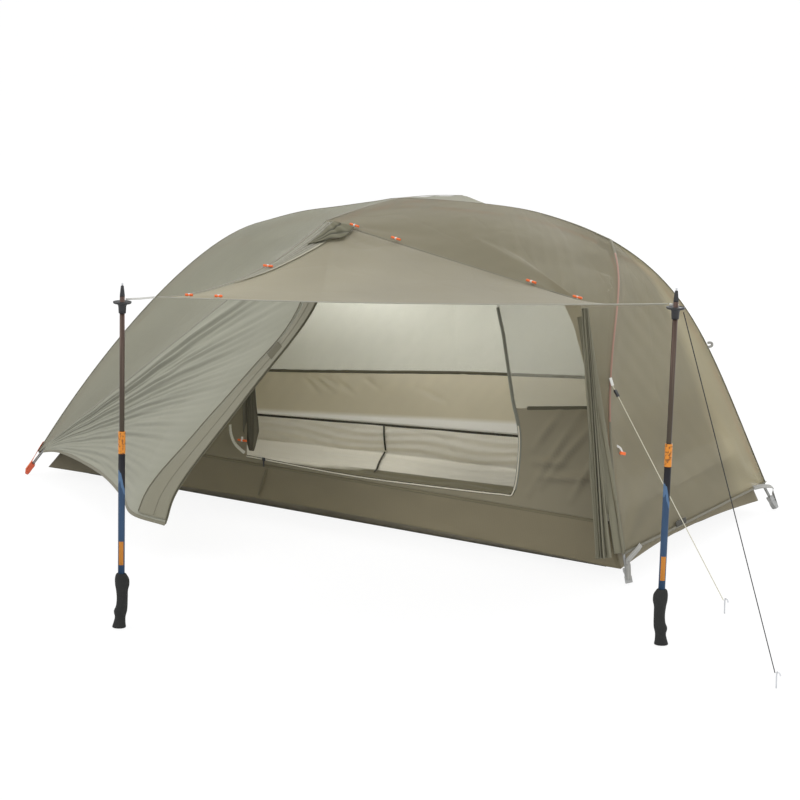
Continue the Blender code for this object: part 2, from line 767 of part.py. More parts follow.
def build_inner():
    pale = finish("inner_ripstop", PALE_INNER, 0.8)
    dark = finish("tub_ripstop", DARK_TUB, 0.7)
    build_tub(dark)
    wide = FLOOR_LENGTH
    tall = 1.1
    front = sheet("inner_front_wall", inner_side(-1), 20, 9, pale, spans=(wide, tall))
    sheet("inner_rear_wall", inner_side(1), 20, 9, pale, spans=(wide, tall))
    for end, width in (("foot", 0.5), ("head", 0.6)):
        ribs = [inner_rib(end, side) for side in (-1, 1)]
        ribs = [stretch(rib, 24, END_WALL_START) for rib in ribs]
        trims = (END_WALL_TRIM, END_WALL_TRIM, SEAM_GAP, SEAM_GAP)
        sheet(f"inner_{end}_wall", between(*ribs), 6, 9, pale, trims, (width, tall))

    opening = bmesh.new()
    outline = smooth_path([(x, 0, z) for x, z in (*DOOR_OUTLINE[1:], DOOR_OUTLINE[0])], 3)
    near = [opening.verts.new((p.x, DOOR_CUT_START, p.z)) for p in outline]
    far = [opening.verts.new((p.x, DOOR_CUT_END, p.z)) for p in outline]
    opening.faces.new(near)
    opening.faces.new(far)
    for index, vertex in enumerate(near):
        opening.faces.new((vertex, near[index - 1], far[index - 1], far[index]))
    bmesh.ops.recalc_face_normals(opening, faces=opening.faces)
    combine(front, hidden_tool("door_opening", mesh_of("door_opening", opening)), "DIFFERENCE")

    coil = finish("zip_coil", (0.62, 0.58, 0.45), 0.6)
    flat = smooth_path([(x, 0, z) for x, z in DOOR_OUTLINE[:DOOR_SIDE_COUNT]], 5)
    route = [Vector((p.x, front_wall_y(p.x, p.z) - ZIP_STAND_OFF - ZIP_RADIUS, p.z)) for p in flat]
    route = smooth_path(stretch(route, 26), 2)
    tube("door_zip", route, ZIP_RADIUS, coil)

    first, last = [Vector((x, front_wall_y(x, z), z)) for x, z in (DOOR_OUTLINE[0], DOOR_OUTLINE[3])]
    along_sill = (last - first).normalized()
    slope = along_sill.y / along_sill.x
    face_y = min(p.y - first.y - (p.x - first.x) * slope for p in route if p.x < SLIDER_END)
    start = first + along_sill * (SLIDER_START - first.x)
    place = start + Vector((0, face_y - ZIP_RADIUS - SLIDER_GAP - SLIDER_SIZE[1] / 2, -SLIDER_SIZE[2] / 4))
    pull = finish("slider_enamel", ORANGE, 0.4)
    box("door_zip_slider", SLIDER_SIZE, place, axes_along(along_sill), pull, 0.001)

    top_x, top_z = DOOR_BUNDLE_TOP
    foot_x, foot_z = DOOR_BUNDLE_FOOT
    top = Vector((top_x, front_wall_y(top_x, top_z) - DOOR_BUNDLE_OUT, top_z))
    foot = Vector((foot_x, front_wall_y(foot_x, foot_z) - DOOR_BUNDLE_OUT, foot_z))
    bundle("inner_door", top, foot, DOOR_BUNDLE_WIDTH, DOOR_BUNDLE_DEPTH, pale, turns=0.12)


def bundle(name, top, foot, width, depth, look, turns=0.0, folds=5, rings=10, sides=20):
    """Gathered cloth: a flat roll with folds down its length, narrow where it is tied."""
    cage = bmesh.new()
    down, across_it, out = axes_along(foot - top, (0, 1, 0))
    loops = []
    for ring in range(rings + 1):
        share = ring / rings
        swell = 0.45 + 0.55 * math.sin(math.pi * min(1.0, share * 1.15)) ** 0.7
        centre = top.lerp(foot, share)
        loop = []
        for step in range(sides):
            angle = math.tau * step / sides
            fold = 1 + 0.2 * math.cos(folds * (angle + math.tau * turns * share))
            offset = across_it * math.cos(angle) * width * fold + out * math.sin(angle) * depth * fold
            loop.append(cage.verts.new(centre + offset * swell))
        loops.append(loop)
    for upper, lower in zip(loops, loops[1:]):
        for step in range(sides):
            following = (step + 1) % sides
            cage.faces.new((upper[step], upper[following], lower[following], lower[step]))
    cage.faces.new(loops[0])
    cage.faces.new(loops[-1])
    return closed_mesh(name, cage, look)


# Fly

def build_fly():
    olive = finish("fly_ripstop", OLIVE_FLY, 0.6)
    ribs = FLY_CORNERS
    to_peak = ridge_between(HUB_FOOT[0], BROW_X)
    from_peak = ridge_between(BROW_X, HUB_HEAD[0])

    for end, width in (("foot", 0.7), ("head", 0.9)):
        pair = [stretch(ribs[end, side], 24, PEAK_OPENING) for side in (-1, 1)]
        trims = (2 * SEAM_GAP, 2 * SEAM_GAP, SEAM_GAP, SEAM_GAP)
        sheet(f"fly_{end}_panel", between(*pair), 8, 10, olive, trims, (width, 1.2))

    rear_hem = Vector((BROW_X, (HEAD_WIDTH + FOOT_WIDTH) / 4 + FLY_REAR_HEM_OUT, FLY_HEM))
    rear_rib = [*brow_half(1), *stretch(smooth_path([
        Vector((BROW_X, BROW_HALF, BROW_END_HEIGHT)),
        Vector((BROW_X, BROW_HALF + 0.035, BROW_END_HEIGHT * 0.55)), rear_hem,
    ]), 12)[1:]]
    left = across(to_peak, [ribs["foot", 1][-1], rear_hem], ribs["foot", 1], rear_rib)
    right = across(from_peak, [rear_hem, ribs["head", 1][-1]], rear_rib, ribs["head", 1])
    brow_share = path_length(brow_half(1)) / path_length(rear_rib)
    rear = bent(side_by_side(left, right), REAR_BROW_ROWS / REAR_ROWS, brow_share)
    sheet("fly_rear_panel", rear, 22, REAR_ROWS, olive, spans=(2.2, 1.3))

    brow = brow_half(-1)
    hinge = [PANEL_HINGE_FOOT, EAVE_LEFT]
    left = across(to_peak, hinge, ribs["foot", -1], brow)
    trims = (SEAM_GAP, SEAM_GAP, SEAM_GAP, HINGE_GAP)
    sheet("fly_front_left_panel", left, 12, 8, olive, trims, (1.0, 0.8))

    eave = stretch([EAVE_LEFT, EAVE_END], 8)
    zip_line = [*eave, *stretch([EAVE_END, ribs["head", -1][-1]], 8)[1:]]
    right = across(from_peak, zip_line, brow, ribs["head", -1])
    sheet("fly_front_right_panel", right, 16, 8, olive, trims, (1.3, 0.6))

    bundle("zip_flap_right", Vector(FLAP_TOP), Vector(FLAP_FOOT), FLAP_WIDTH, FLAP_DEPTH, olive, turns=0.1)


def sagged(start, end, sag, count=9):
    path = []
    for step in range(count):
        share = step / (count - 1)
        path.append(Vector(start).lerp(Vector(end), share) - Vector((0, 0, sag * 4 * share * (1 - share))))
    return path


def build_awning():
    """The vestibule's door, unzipped on both sides and held out level on the two poles."""
    olive = finish("awning_ripstop", OLIVE_FLY, 0.6)
    top = [EAVE_LEFT, EAVE_END]
    hem = sagged(AWNING_LEFT, AWNING_RIGHT, AWNING_HEM_SAG)
    left = sagged(EAVE_LEFT, AWNING_LEFT, AWNING_EDGE_SAG)
    right = sagged(EAVE_END, AWNING_RIGHT, AWNING_HEM_SAG)
    flat = across(top, hem, left, right)

    def folded(u, v):
        ripple = math.sin(math.tau * AWNING_FOLDS * u) * math.sin(math.pi * v) * (1 - 0.7 * u)
        return flat(u, v) + Vector((0, 0, AWNING_FOLD_HEIGHT * ripple))

    below = Vector((0.7, -0.8, 0))
    trims = (SEAM_GAP, SEAM_GAP, HINGE_GAP, SEAM_GAP)
    sheet("awning_panel", folded, 20, 9, olive, trims, (1.1, 0.95), below)


def build_vestibule_panel():
    """The other half of the vestibule, still pegged out, with folds that run from its foot."""
    olive = finish("vestibule_ripstop", OLIVE_FLY, 0.6)
    hinge = [PANEL_HINGE_FOOT, EAVE_LEFT]
    hem = smooth_path([PANEL_HINGE_FOOT, *PANEL_HEM])
    edge = smooth_path([EAVE_LEFT, *PANEL_EDGE, PANEL_HEM[-1]], 6)
    near_foot = [at(hinge, PANEL_START), at(hem, PANEL_START)]
    surface = across(stretch(hinge, 12, PANEL_START), stretch(hem, 12, PANEL_START), near_foot, edge)

    def folded(u, v):
        reach = math.sin(math.pi * min(1.0, u * 1.05)) ** 0.8
        ripple = math.sin(math.tau * PANEL_FOLDS * v) * math.sin(math.pi * v) ** 0.5
        return surface(u, v) + Vector((0, -1, 0.3)) * PANEL_FOLD_HEIGHT * reach * ripple

    trims = (SEAM_GAP, SEAM_GAP, HINGE_GAP, SEAM_GAP)
    sheet("vestibule_panel", folded, 12, 22, olive, trims, (1.2, 1.0))


# Corner hardware

def pole_route(end, side):
    """The leg pole's centre line: inside the fly, and out to the corner's tip at its foot."""
    line = leg_line(end, side)
    inside = drawn_in(line, end, lambda height: POLE_DROP * min(1.0, height / DROP_FADE_HEIGHT))
    return cut_at_height(inside, POLE_END_HEIGHT[end])


def ribbon(name, path, outs, width, thickness, look):
    """A strap along a path, flat against the directions in outs."""
    cage = bmesh.new()
    rows = []
    for index, (point, out) in enumerate(zip(path, outs)):
        ahead = path[min(index + 1, len(path) - 1)] - path[max(index - 1, 0)]
        half = ahead.normalized().cross(out) * (width / 2)
        far = out * thickness
        corners = (point - half, point + half, point + half + far, point - half + far)
        rows.append([cage.verts.new(corner) for corner in corners])
    for upper, lower in zip(rows, rows[1:]):
        for step in range(4):
            following = (step + 1) % 4
            cage.faces.new((upper[step], upper[following], lower[following], lower[step]))
    cage.faces.new(rows[0])
    cage.faces.new(rows[-1])
    return closed_mesh(name, cage, look)


def closed_mesh(name, cage, look):
    """A piece from a closed cage, with its faces turned outwards."""
    bmesh.ops.recalc_face_normals(cage, faces=cage.faces)
    if cage.calc_volume(signed=True) < 0:
        bmesh.ops.reverse_faces(cage, faces=cage.faces)
    return add_piece(name, mesh_of(name, cage), look)


def build_corners():
    """At each corner a buckle takes the pole's tip, and a strap joins it to the fly."""
    for end in ("head", "foot"):
        colour = PALE_GREY if end == "head" else ORANGE
        hard = finish(f"buckle_{end}", colour, 0.45)
        woven = finish(f"webbing_{end}", colour, 0.85)
        for side, word in ((-1, "front"), (1, "rear")):
            route = leg_stations(end, side)
            leg = leg_line(end, side)
            tip = route[-1]
            direction = (tip - route[-2]).normalized()
            out = square_to(tip - LEG_INSIDE[end], direction)
            sideways = direction.cross(out)
            name = f"corner_buckle_{end}_{word}"
            middle = tip + direction * (BUCKLE_END - BUCKLE_SIZE[0] / 2)
            turn = (direction, sideways, direction.cross(sideways))
            buckle = box(name, BUCKLE_SIZE, middle, turn, hard, 0.0015)
            bore = rod_cutter(
                f"{name}_bore", tip - direction * 1.5 * BUCKLE_SIZE[0], tip + direction * SOCKET_CLEARANCE,
                POLE_RADIUS + BUCKLE_CLEARANCE,
            )
            combine(buckle, bore, "DIFFERENCE")

            beside_buckle = BUCKLE_SIZE[2] / 2 + STRAP_GAP
            path = []
            outs = []
            for height in STRAP_FLY_HEIGHTS:
                point = cut_at_height(leg, height)[-1]
                out_here = square_to(point - LEG_INSIDE[end] + STRAP_TURN[end], direction)
                path.append(point + out_here * STRAP_FLY_GAP)
                outs.append(out_here)
            for back in (BUCKLE_SIZE[0] - BUCKLE_END, STRAP_ABOVE_TIP):
                path.append(tip - direction * back + out * beside_buckle)
                outs.append(out)
            ribbon(f"corner_strap_{end}_{word}", path, outs, STRAP_WIDTH, STRAP_THICKNESS, woven)


# Toggles, guylines and pegs

def toggle(name, hinge, along, away, down, look):
    """A barrel on a short loop, which swings about the hinge."""
    cage = bmesh.new()
    place = Matrix([[along[row], away[row], down[row]] for row in range(3)]).to_4x4()
    place.translation = hinge + down * TOGGLE_STEM
    turn = Matrix.Rotation(math.pi / 2, 4, "Y")
    bmesh.ops.create_cone(
        cage, cap_ends=True, segments=10, radius1=TOGGLE_RADIUS, radius2=TOGGLE_RADIUS,
        depth=TOGGLE_LENGTH, matrix=place @ turn,
    )
    body = closed_mesh(name, cage, look)
    stem = tube(f"{name}_stem", [hinge, hinge + down * TOGGLE_STEM], TOGGLE_RADIUS * 0.45, None, 1)
    combine(body, cutter(stem, f"{name}_stem"), "UNION")
    edge = body.modifiers.new("edges", "BEVEL")
    edge.width = TOGGLE_BEVEL
    edge.segments = 1
    edge.limit_method = "ANGLE"


def build_toggles():
    elastic = finish("toggle_orange", ORANGE, 0.5)
    along = (EAVE_END - EAVE_LEFT).normalized()
    down = square_to(Vector(AWNING_RIGHT) - EAVE_END, along)
    away = along.cross(down)
    if away.z < 0:
        away = -away
    for number, share in enumerate(TOGGLE_SHARES, 1):
        hinge = EAVE_LEFT.lerp(EAVE_END, share) + away * TOGGLE_STAND_OFF
        toggle(f"roll_toggle_{number}", hinge, along, away, down, elastic)
    x, z = TIE_TOGGLE
    hinge = Vector((x, front_wall_y(x, z) - DOOR_BUNDLE_OUT - 2 * DOOR_BUNDLE_DEPTH, z))
    toggle("tie_toggle", hinge, Vector((1, 0, 0)), Vector((0, 1, 0)), Vector((0, 0, -1)), elastic)


def peg(name, foot, line_end, look):
    """The part of a peg above the ground, with its hook turned away from the tent."""
    away = Vector((foot.x - line_end.x, foot.y - line_end.y, 0)).normalized()
    path = [
        foot, foot + Vector((0, 0, PEG_HEIGHT - PEG_HOOK / 2)),
        foot + away * PEG_HOOK * 0.3 + Vector((0, 0, PEG_HEIGHT)),
        foot + away * PEG_HOOK * 0.9 + Vector((0, 0, PEG_HEIGHT)),
        foot + away * PEG_HOOK * 1.2 + Vector((0, 0, PEG_HEIGHT - PEG_HOOK * 0.6)),
    ]
    tube(name, path, PEG_RADIUS, look, 1)


def build_guylines():
    cream = finish("guyline_cream", (0.62, 0.58, 0.45), 0.8)
    black = finish("guyline_black", (0.02, 0.02, 0.02), 0.8)
    steel = finish("peg_alloy", (0.55, 0.56, 0.58), 0.35, 1.0)
    for word, route, look in (("head", HEAD_GUYLINE, cream), ("pole", POLE_GUYLINE, black)):
        path = [Vector(point) for point in route]
        tube(f"guyline_{word}", path, GUYLINE_RADIUS, look)
        away = Vector((path[-1].x - path[-2].x, path[-1].y - path[-2].y, 0)).normalized()
        foot = Vector((path[-1].x, path[-1].y, 0)) + away * PEG_BEHIND_LINE
        peg(f"peg_{word}", foot, path[-1], steel)

    line = [Vector(point) for point in HEAD_GUYLINE]
    middle = at(line, TENSIONER_SHARE)
    along = (line[-1] - line[0]).normalized()
    plastic = finish("tensioner_black", (0.03, 0.03, 0.03), 0.45)
    block = box("line_tensioner", TENSIONER_SIZE, middle, axes_along(along), plastic, 0.001)
    reach = along * TENSIONER_SIZE[0]
    bore = rod_cutter("tensioner_bore", middle - reach, middle + reach, GUYLINE_RADIUS + FIT, 2)
    combine(block, bore, "DIFFERENCE")


# Trekking poles

def build_trekking_pole(word):
    foot = Vector((*POLE_FEET[word], 0.0015))
    length = POLE_LENGTHS[word]
    axis = Vector((*POLE_LEAN, length))
    reach = axis.length
    foam = finish(f"grip_foam_{word}", (0.02, 0.02, 0.02), 0.95)
    tube_look = finish(f"upper_alloy_{word}", (0.02, 0.16, 0.5), 0.3, 0.6)
    lock_look = finish(f"lock_{word}", ORANGE, 0.4)
    lower_look = finish(f"lower_alloy_{word}", (0.16, 0.12, 0.09), 0.35, 0.7)
    black = finish(f"basket_{word}", (0.03, 0.03, 0.03), 0.6)

    hole = UPPER_RADIUS + FIT
    grip = [
        (0, UPPER_START - FIT), (hole, UPPER_START - FIT), (hole, GRIP_LENGTH), (hole + 0.0022, GRIP_LENGTH),
        (0.0135, 0.143), (0.0128, 0.125), (0.0135, 0.1), (0.0158, 0.082), (0.0138, 0.06),
        (0.0138, 0.04), (0.0165, 0.022), (0.0175, 0.01), (0.015, 0.002), (0.009, 0), (0, 0),
    ]
    turned(f"pole_grip_{word}", grip, foot, axis, foam, 18)
    inner = UPPER_RADIUS - UPPER_WALL
    upper = [
        (inner, UPPER_START), (inner, UPPER_END), (UPPER_RADIUS, UPPER_END), (UPPER_RADIUS, UPPER_START),
        (inner, UPPER_START),
    ]
    turned(f"upper_shaft_{word}", upper, foot, axis, tube_look)
    start = UPPER_END + FIT
    hole = LOWER_RADIUS + FIT
    collar = [
        (hole, start), (hole, start + COLLAR_LENGTH), (COLLAR_RADIUS - 0.0015, start + COLLAR_LENGTH),
        (COLLAR_RADIUS, start + COLLAR_LENGTH - 0.004), (COLLAR_RADIUS, start + 0.003),
        (COLLAR_RADIUS - 0.0008, start), (hole, start),
    ]
    turned(f"lock_collar_{word}", collar, foot, axis, lock_look)
    bore = LOWER_RADIUS - UPPER_WALL
    bore_end = reach - TIP_LENGTH - 0.01
    lower = [
        (0, reach), (0.0022, reach), (0.0032, reach - 0.008), (0.0038, reach - 0.016),
        (0.0055, reach - 0.02), (LOWER_RADIUS, reach - TIP_LENGTH), (LOWER_RADIUS, LOWER_START),
        (bore, LOWER_START), (bore, bore_end), (0, bore_end),
    ]
    turned(f"lower_shaft_{word}", lower, foot, axis, lower_look)
    level = reach - BASKET_BELOW_TOP
    ring = [
        (hole, level - BASKET_HUB_LENGTH), (hole, level), (BASKET_RADIUS * 0.9, level),
        (BASKET_RADIUS, level - 0.002), (BASKET_RADIUS * 0.92, level - 0.004),
        (BASKET_HUB_RADIUS, level - 0.006), (BASKET_HUB_RADIUS - 0.001, level - BASKET_HUB_LENGTH),
        (hole, level - BASKET_HUB_LENGTH),
    ]
    turned(f"basket_{word}", ring, foot, axis, black)
    grey = finish(f"awning_webbing_{word}", PALE_GREY, 0.9)
    centre = foot + axis.normalized() * (level + AWNING_CORD_ABOVE)
    corner = Vector(AWNING_LEFT if word == "left" else AWNING_RIGHT)
    towards = (corner - centre).normalized()
    start = centre + towards * (LOWER_RADIUS + AWNING_CORD_RADIUS + FIT)
    end = corner - towards * AWNING_CORD_SHORT
    low = start.lerp(end, 0.5) - Vector((0, 0, AWNING_CORD_SAG))
    tube(f"awning_cord_{word}", [start, low, end], AWNING_CORD_RADIUS, grey)


build_frame()
build_inner()
build_fly()
build_awning()
build_vestibule_panel()
build_corners()
build_toggles()
build_guylines()
build_trekking_pole("left")
build_trekking_pole("right")
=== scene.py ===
"""A one-person backpacking tent, pitched with its awning up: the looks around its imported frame.

X runs along the tent from the foot end to the head end, the door is on the -Y side, and +Z is up.
Lengths are in metres.
"""

import math

import bmesh
import bpy
import numpy as np
from mathutils import Matrix, Vector


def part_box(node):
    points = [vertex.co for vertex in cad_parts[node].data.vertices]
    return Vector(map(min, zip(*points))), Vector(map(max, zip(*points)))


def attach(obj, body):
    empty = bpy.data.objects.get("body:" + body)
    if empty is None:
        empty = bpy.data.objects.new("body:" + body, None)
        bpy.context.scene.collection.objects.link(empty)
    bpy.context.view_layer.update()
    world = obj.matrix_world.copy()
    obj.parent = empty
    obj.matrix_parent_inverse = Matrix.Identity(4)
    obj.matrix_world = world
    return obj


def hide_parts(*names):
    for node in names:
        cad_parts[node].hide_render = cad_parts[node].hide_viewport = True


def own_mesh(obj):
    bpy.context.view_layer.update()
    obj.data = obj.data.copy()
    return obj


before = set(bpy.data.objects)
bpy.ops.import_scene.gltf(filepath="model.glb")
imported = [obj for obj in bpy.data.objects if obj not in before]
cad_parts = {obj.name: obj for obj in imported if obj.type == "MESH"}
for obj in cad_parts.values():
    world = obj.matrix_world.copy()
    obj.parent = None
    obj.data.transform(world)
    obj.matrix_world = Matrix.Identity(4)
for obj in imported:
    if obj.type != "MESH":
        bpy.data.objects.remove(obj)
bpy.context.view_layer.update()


# Studio. A pale floor and a white surround, lit softly from above and from both sides, as a tent is
# photographed indoors.

scene = bpy.context.scene
scene.view_settings.view_transform = "Standard"


def added(make, name, **settings):
    """A new object from one of the operators that add a primitive."""
    bpy.ops.object.select_all(action="DESELECT")
    make(**settings)
    piece = bpy.context.object
    piece.name = name
    piece.data.name = name
    return piece


def feed(tree, socket, value):
    """Joins another node's output to the socket, or gives it a number or a colour."""
    if isinstance(value, bpy.types.NodeSocket):
        tree.links.new(value, socket)
    elif socket.type == "RGBA":
        socket.default_value = (*value, 1)
    else:
        socket.default_value = value


def node(tree, kind, inputs=None, **settings):
    """A new node, with what feeds each of its inputs, by name or number."""
    made = tree.nodes.new(kind)
    for key, value in settings.items():
        setattr(made, key, value)
    for socket, value in (inputs or {}).items():
        feed(tree, made.inputs[socket], value)
    return made


def calculate(tree, operation, *values):
    """The output of a Math node that is fed by sockets or plain numbers."""
    return node(tree, "ShaderNodeMath", dict(enumerate(values)), operation=operation).outputs[0]


def mixed(tree, factor, first, second):
    """The output of a mix of two nodes' shaders."""
    given = {0: factor, 1: first.outputs[0], 2: second.outputs[0]}
    return node(tree, "ShaderNodeMixShader", given).outputs[0]


surround = bpy.data.worlds.new("surround")
scene.world = surround
surround.use_nodes = True
sky = surround.node_tree
sky.nodes.clear()
lamp_side = node(sky, "ShaderNodeBackground", {"Color": (0.97, 0.985, 1.0), "Strength": 0.85})
seen_side = node(sky, "ShaderNodeBackground", {"Color": (1, 1, 1)})
rays = node(sky, "ShaderNodeLightPath").outputs
seen = calculate(sky, "MAXIMUM", rays["Is Camera Ray"], rays["Is Glossy Ray"])
seen = calculate(sky, "MAXIMUM", seen, rays["Is Transmission Ray"])
node(sky, "ShaderNodeOutputWorld", {"Surface": mixed(sky, seen, lamp_side, seen_side)})

ground = added(bpy.ops.mesh.primitive_plane_add, "studio_floor", size=160)
ground_paint = bpy.data.materials.new("studio_floor")
ground_paint.use_nodes = True
tree = ground_paint.node_tree
matt = tree.nodes["Principled BSDF"]
matt.inputs["Base Color"].default_value = (0.86, 0.86, 0.86, 1)
matt.inputs["Roughness"].default_value = 0.9
matt.inputs["Specular IOR Level"].default_value = 0.0
bright = node(tree, "ShaderNodeEmission", {"Color": (1, 1, 1), "Strength": 1.05})
seen = node(tree, "ShaderNodeLightPath").outputs["Is Camera Ray"]
paint = mixed(tree, calculate(tree, "MULTIPLY", seen, 0.86), matt, bright)
feed(tree, tree.nodes["Material Output"].inputs["Surface"], paint)
ground.data.materials.append(ground_paint)

for name, place, aim, size, power in (
    ("key_softbox", (-3.2, -5.2, 4.6), (0, -0.4, 0.4), 3.2, 80),
    ("top_softbox", (0.2, -0.2, 4.8), (0.1, 0, 0), 4.0, 40),
    ("right_softbox", (5.0, -2.6, 2.6), (0.8, 0, 0.4), 2.6, 40),
    ("back_softbox", (0.6, 4.6, 3.2), (0.3, 0.3, 0.4), 3.6, 150),
    ("tent_lamp_foot", (-0.2, 0.0, 0.74), (-0.25, 0.12, 0), 0.5, 3.3),
    ("tent_lamp_head", (0.5, 0.0, 0.74), (0.5, 0.12, 0), 0.5, 2.3),
):
    lamp = bpy.data.lights.new(name, "AREA")
    lamp.size = size
    lamp.energy = power
    stand = bpy.data.objects.new(name, lamp)
    scene.collection.objects.link(stand)
    stand.location = place
    stand.rotation_euler = (Vector(aim) - Vector(place)).to_track_quat("-Z", "Y").to_euler()

CAMERA_TILT = -11.297
CAMERA_TURN = 32.156
camera = bpy.data.cameras.new("camera")
camera.lens = 106.06
camera.sensor_width = 36
camera_stand = bpy.data.objects.new("camera", camera)
scene.collection.objects.link(camera_stand)
camera_stand.location = (4.0532, -6.3363, 1.8241)
camera_stand.rotation_euler = (math.radians(90 + CAMERA_TILT), 0, math.radians(CAMERA_TURN))
scene.camera = camera_stand


# Guylines. Thin braided cord, cream at the head end and black on the trekking pole, each held taut
# between the tent and a peg. They come first because their lengths are fixed.

GUYLINE_RADIUS = 0.0013
HEAD_GUYLINE = (
    (1.036, -0.396, 0.545), (1.0741, -0.4158, 0.5043), (1.1312, -0.4454, 0.4432),
    (1.1883, -0.475, 0.3821), (1.2454, -0.5047, 0.321), (1.3026, -0.5343, 0.26),
    (1.3597, -0.564, 0.1989), (1.4168, -0.5936, 0.1378), (1.4644, -0.6183, 0.0869), (1.512, -0.643, 0.036),
)
POLE_GUYLINE = (
    (1.541, -1.001, 0.88), (1.575, -1.0172, 0.7974), (1.615, -1.0363, 0.7003), (1.655, -1.0553, 0.6031),
    (1.695, -1.0744, 0.506), (1.735, -1.0935, 0.4089), (1.775, -1.1125, 0.3117), (1.815, -1.1316, 0.2146),
    (1.855, -1.1507, 0.1174), (1.888, -1.1664, 0.0373),
)


def run_lengths(path):
    """How far along the path each of its points is, as shares from 0 to 1."""
    steps = np.linalg.norm(np.diff(np.asarray(path, float), axis=0), axis=1)
    run = np.concatenate([[0.0], np.cumsum(steps)])
    return run / run[-1]


def spaced(path, shares):
    """Points at these shares of the path's length."""
    path = np.asarray(path, float)
    run = run_lengths(path)
    shares = np.clip(shares, 0.0, 1.0)
    return np.stack([np.interp(shares, run, path[:, axis]) for axis in range(3)], axis=-1)


def length_of(path):
    return float(np.linalg.norm(np.diff(np.asarray(path, float), axis=0), axis=1).sum())


def unit(vectors):
    return vectors / np.maximum(np.linalg.norm(vectors, axis=-1, keepdims=True), 1e-12)


def square_to(along, vectors):
    """The directions of these vectors, turned square to along."""
    return unit(vectors - along * (vectors * along).sum(-1, keepdims=True))


# Painted light and shade on the wrinkles: the light they are painted as facing, and how strongly.
WRINKLE_LIGHT = np.array([-0.45, -0.25, 0.86])
WRINKLE_SHADE = 0.65


def read(items, word, width=3):
    """This value of each of a mesh's vertices, faces or loops, as rows."""
    values = np.empty(len(items) * width)
    items.foreach_get(word, values)
    return values.reshape(-1, width)


def patch(name, columns, rows, place, size=(1.0, 1.0), lift=None, inside=None, rolled=False, painted_light=None):
    """A grid of mesh that place() lays out from its shares across and down. Its UV map is in
    metres. lift() gives how far each point then moves out along its normal, and the faces are
    turned away from the point named inside. A rolled patch is welded into a closed tube. The
    attribute painted_light holds painted light and shade: it paints the wrinkles that lift()
    makes paler or darker by how they face a light from one side, and painted_light() adds to it."""
    piece = added(bpy.ops.mesh.primitive_grid_add, name, x_subdivisions=columns, y_subdivisions=rows, size=1)
    mesh = piece.data
    across, down = (read(mesh.vertices, "co")[:, :2] + 0.5).T
    points = place(across, down)
    mesh.vertices.foreach_set("co", points.ravel())
    mesh.update()
    laid = mesh.uv_layers[0].data
    laid.foreach_set("uv", (read(laid, "uv", 2) * size).ravel())
    if inside is not None:
        outward = read(mesh.polygons, "center") - inside
        if (read(mesh.polygons, "normal") * outward).sum() < 0:
            mesh.flip_normals()
    if lift is not None:
        normals = read(mesh.vertex_normals, "vector")
        points = points + normals * lift(across, down, points)[:, None]
        mesh.vertices.foreach_set("co", points.ravel())
        mesh.update()
        # Painted shade and light: each wrinkle is painted paler or darker by how it turns towards
        # WRINKLE_LIGHT.
        leaned = read(mesh.vertex_normals, "vector") - normals
        painted_shades = np.clip(leaned @ WRINKLE_LIGHT * WRINKLE_SHADE, -0.3, 0.3)
        if painted_light is not None:
            painted_shades += painted_light(across, down, points)
        mesh.attributes.new("painted_light", "FLOAT", "POINT").data.foreach_set("value", painted_shades)
    if rolled:
        bpy.ops.object.mode_set(mode="EDIT")
        bpy.ops.mesh.select_all(action="SELECT")
        bpy.ops.mesh.remove_doubles(threshold=1e-6)
        if inside is None:
            bpy.ops.mesh.normals_make_consistent(inside=False)
        bpy.ops.object.mode_set(mode="OBJECT")
    mesh.shade_smooth()
    return piece


def closed_ends(path, half_wide, half_thick, cap):
    """The path with points added at both ends, and the width and thickness at each, rounded off."""
    path = np.asarray(path, float)
    ahead = unit(path[1] - path[0])
    behind = unit(path[-1] - path[-2])
    turns = np.linspace(0, math.pi / 2, 4)
    first = [path[0] + ahead * cap * (1 - math.cos(t)) for t in turns]
    last = [path[-1] - behind * cap * (1 - math.cos(t)) for t in turns[::-1]]
    swell = [math.sin(t) for t in turns]
    line = np.array([*first, *path[1:-1], *last])
    grow = np.array([*swell, *[1.0] * (len(path) - 2), *swell[::-1]])
    return line, half_wide * grow, half_thick * grow


def band(name, path, outs, width, thickness, sides=10, cap=None, steps=None, square=2.0):
    """A closed cord, rod or strap along a path: round where width and thickness are equal, and
    flat against the directions in outs where they aren't. Its UV map runs round and along."""
    path = np.asarray(path, float)
    outs = np.broadcast_to(np.asarray(outs, float), path.shape)
    if steps:
        shares = np.linspace(0, 1, steps)
        run = run_lengths(path)
        outs = np.stack([np.interp(shares, run, outs[:, axis]) for axis in range(3)], axis=-1)
        path = spaced(path, shares)
    length = length_of(path)
    cap = min(width, thickness) / 2 if cap is None else cap
    run = run_lengths(path)
    full = path
    path, wide, thick = closed_ends(path, width / 2, thickness / 2, cap)
    along = unit(np.gradient(path, axis=0))
    where = np.concatenate([[0], np.cumsum(np.linalg.norm(np.diff(path, axis=0), axis=1))])
    where = np.clip(where / max(length, 1e-9), 0, 1)
    outs = np.stack([np.interp(where, run, outs[:, axis]) for axis in range(3)], axis=-1)
    outs = square_to(along, outs)
    sideways = np.cross(along, outs)
    rows = len(path) - 1

    def place(across, down):
        row = np.rint(down * rows).astype(int)
        c, s = np.cos(math.tau * across), np.sin(math.tau * across)
        c = np.sign(c) * np.abs(c) ** (2 / square)
        s = np.sign(s) * np.abs(s) ** (2 / square)
        return path[row] + sideways[row] * (c * wide[row])[:, None] + outs[row] * (s * thick[row])[:, None]

    around = math.pi * (width + thickness) / 2
    return patch(name, sides, rows, place, (around, length_of(full)), rolled=True)


def material(name, **values):
    """A new material, its node tree, and its shader with these values for its inputs."""
    made = bpy.data.materials.new(name)
    made.use_nodes = True
    shader = made.node_tree.nodes["Principled BSDF"]
    for word, value in values.items():
        shader.inputs[word.replace("_", " ")].default_value = value
    return made, made.node_tree, shader


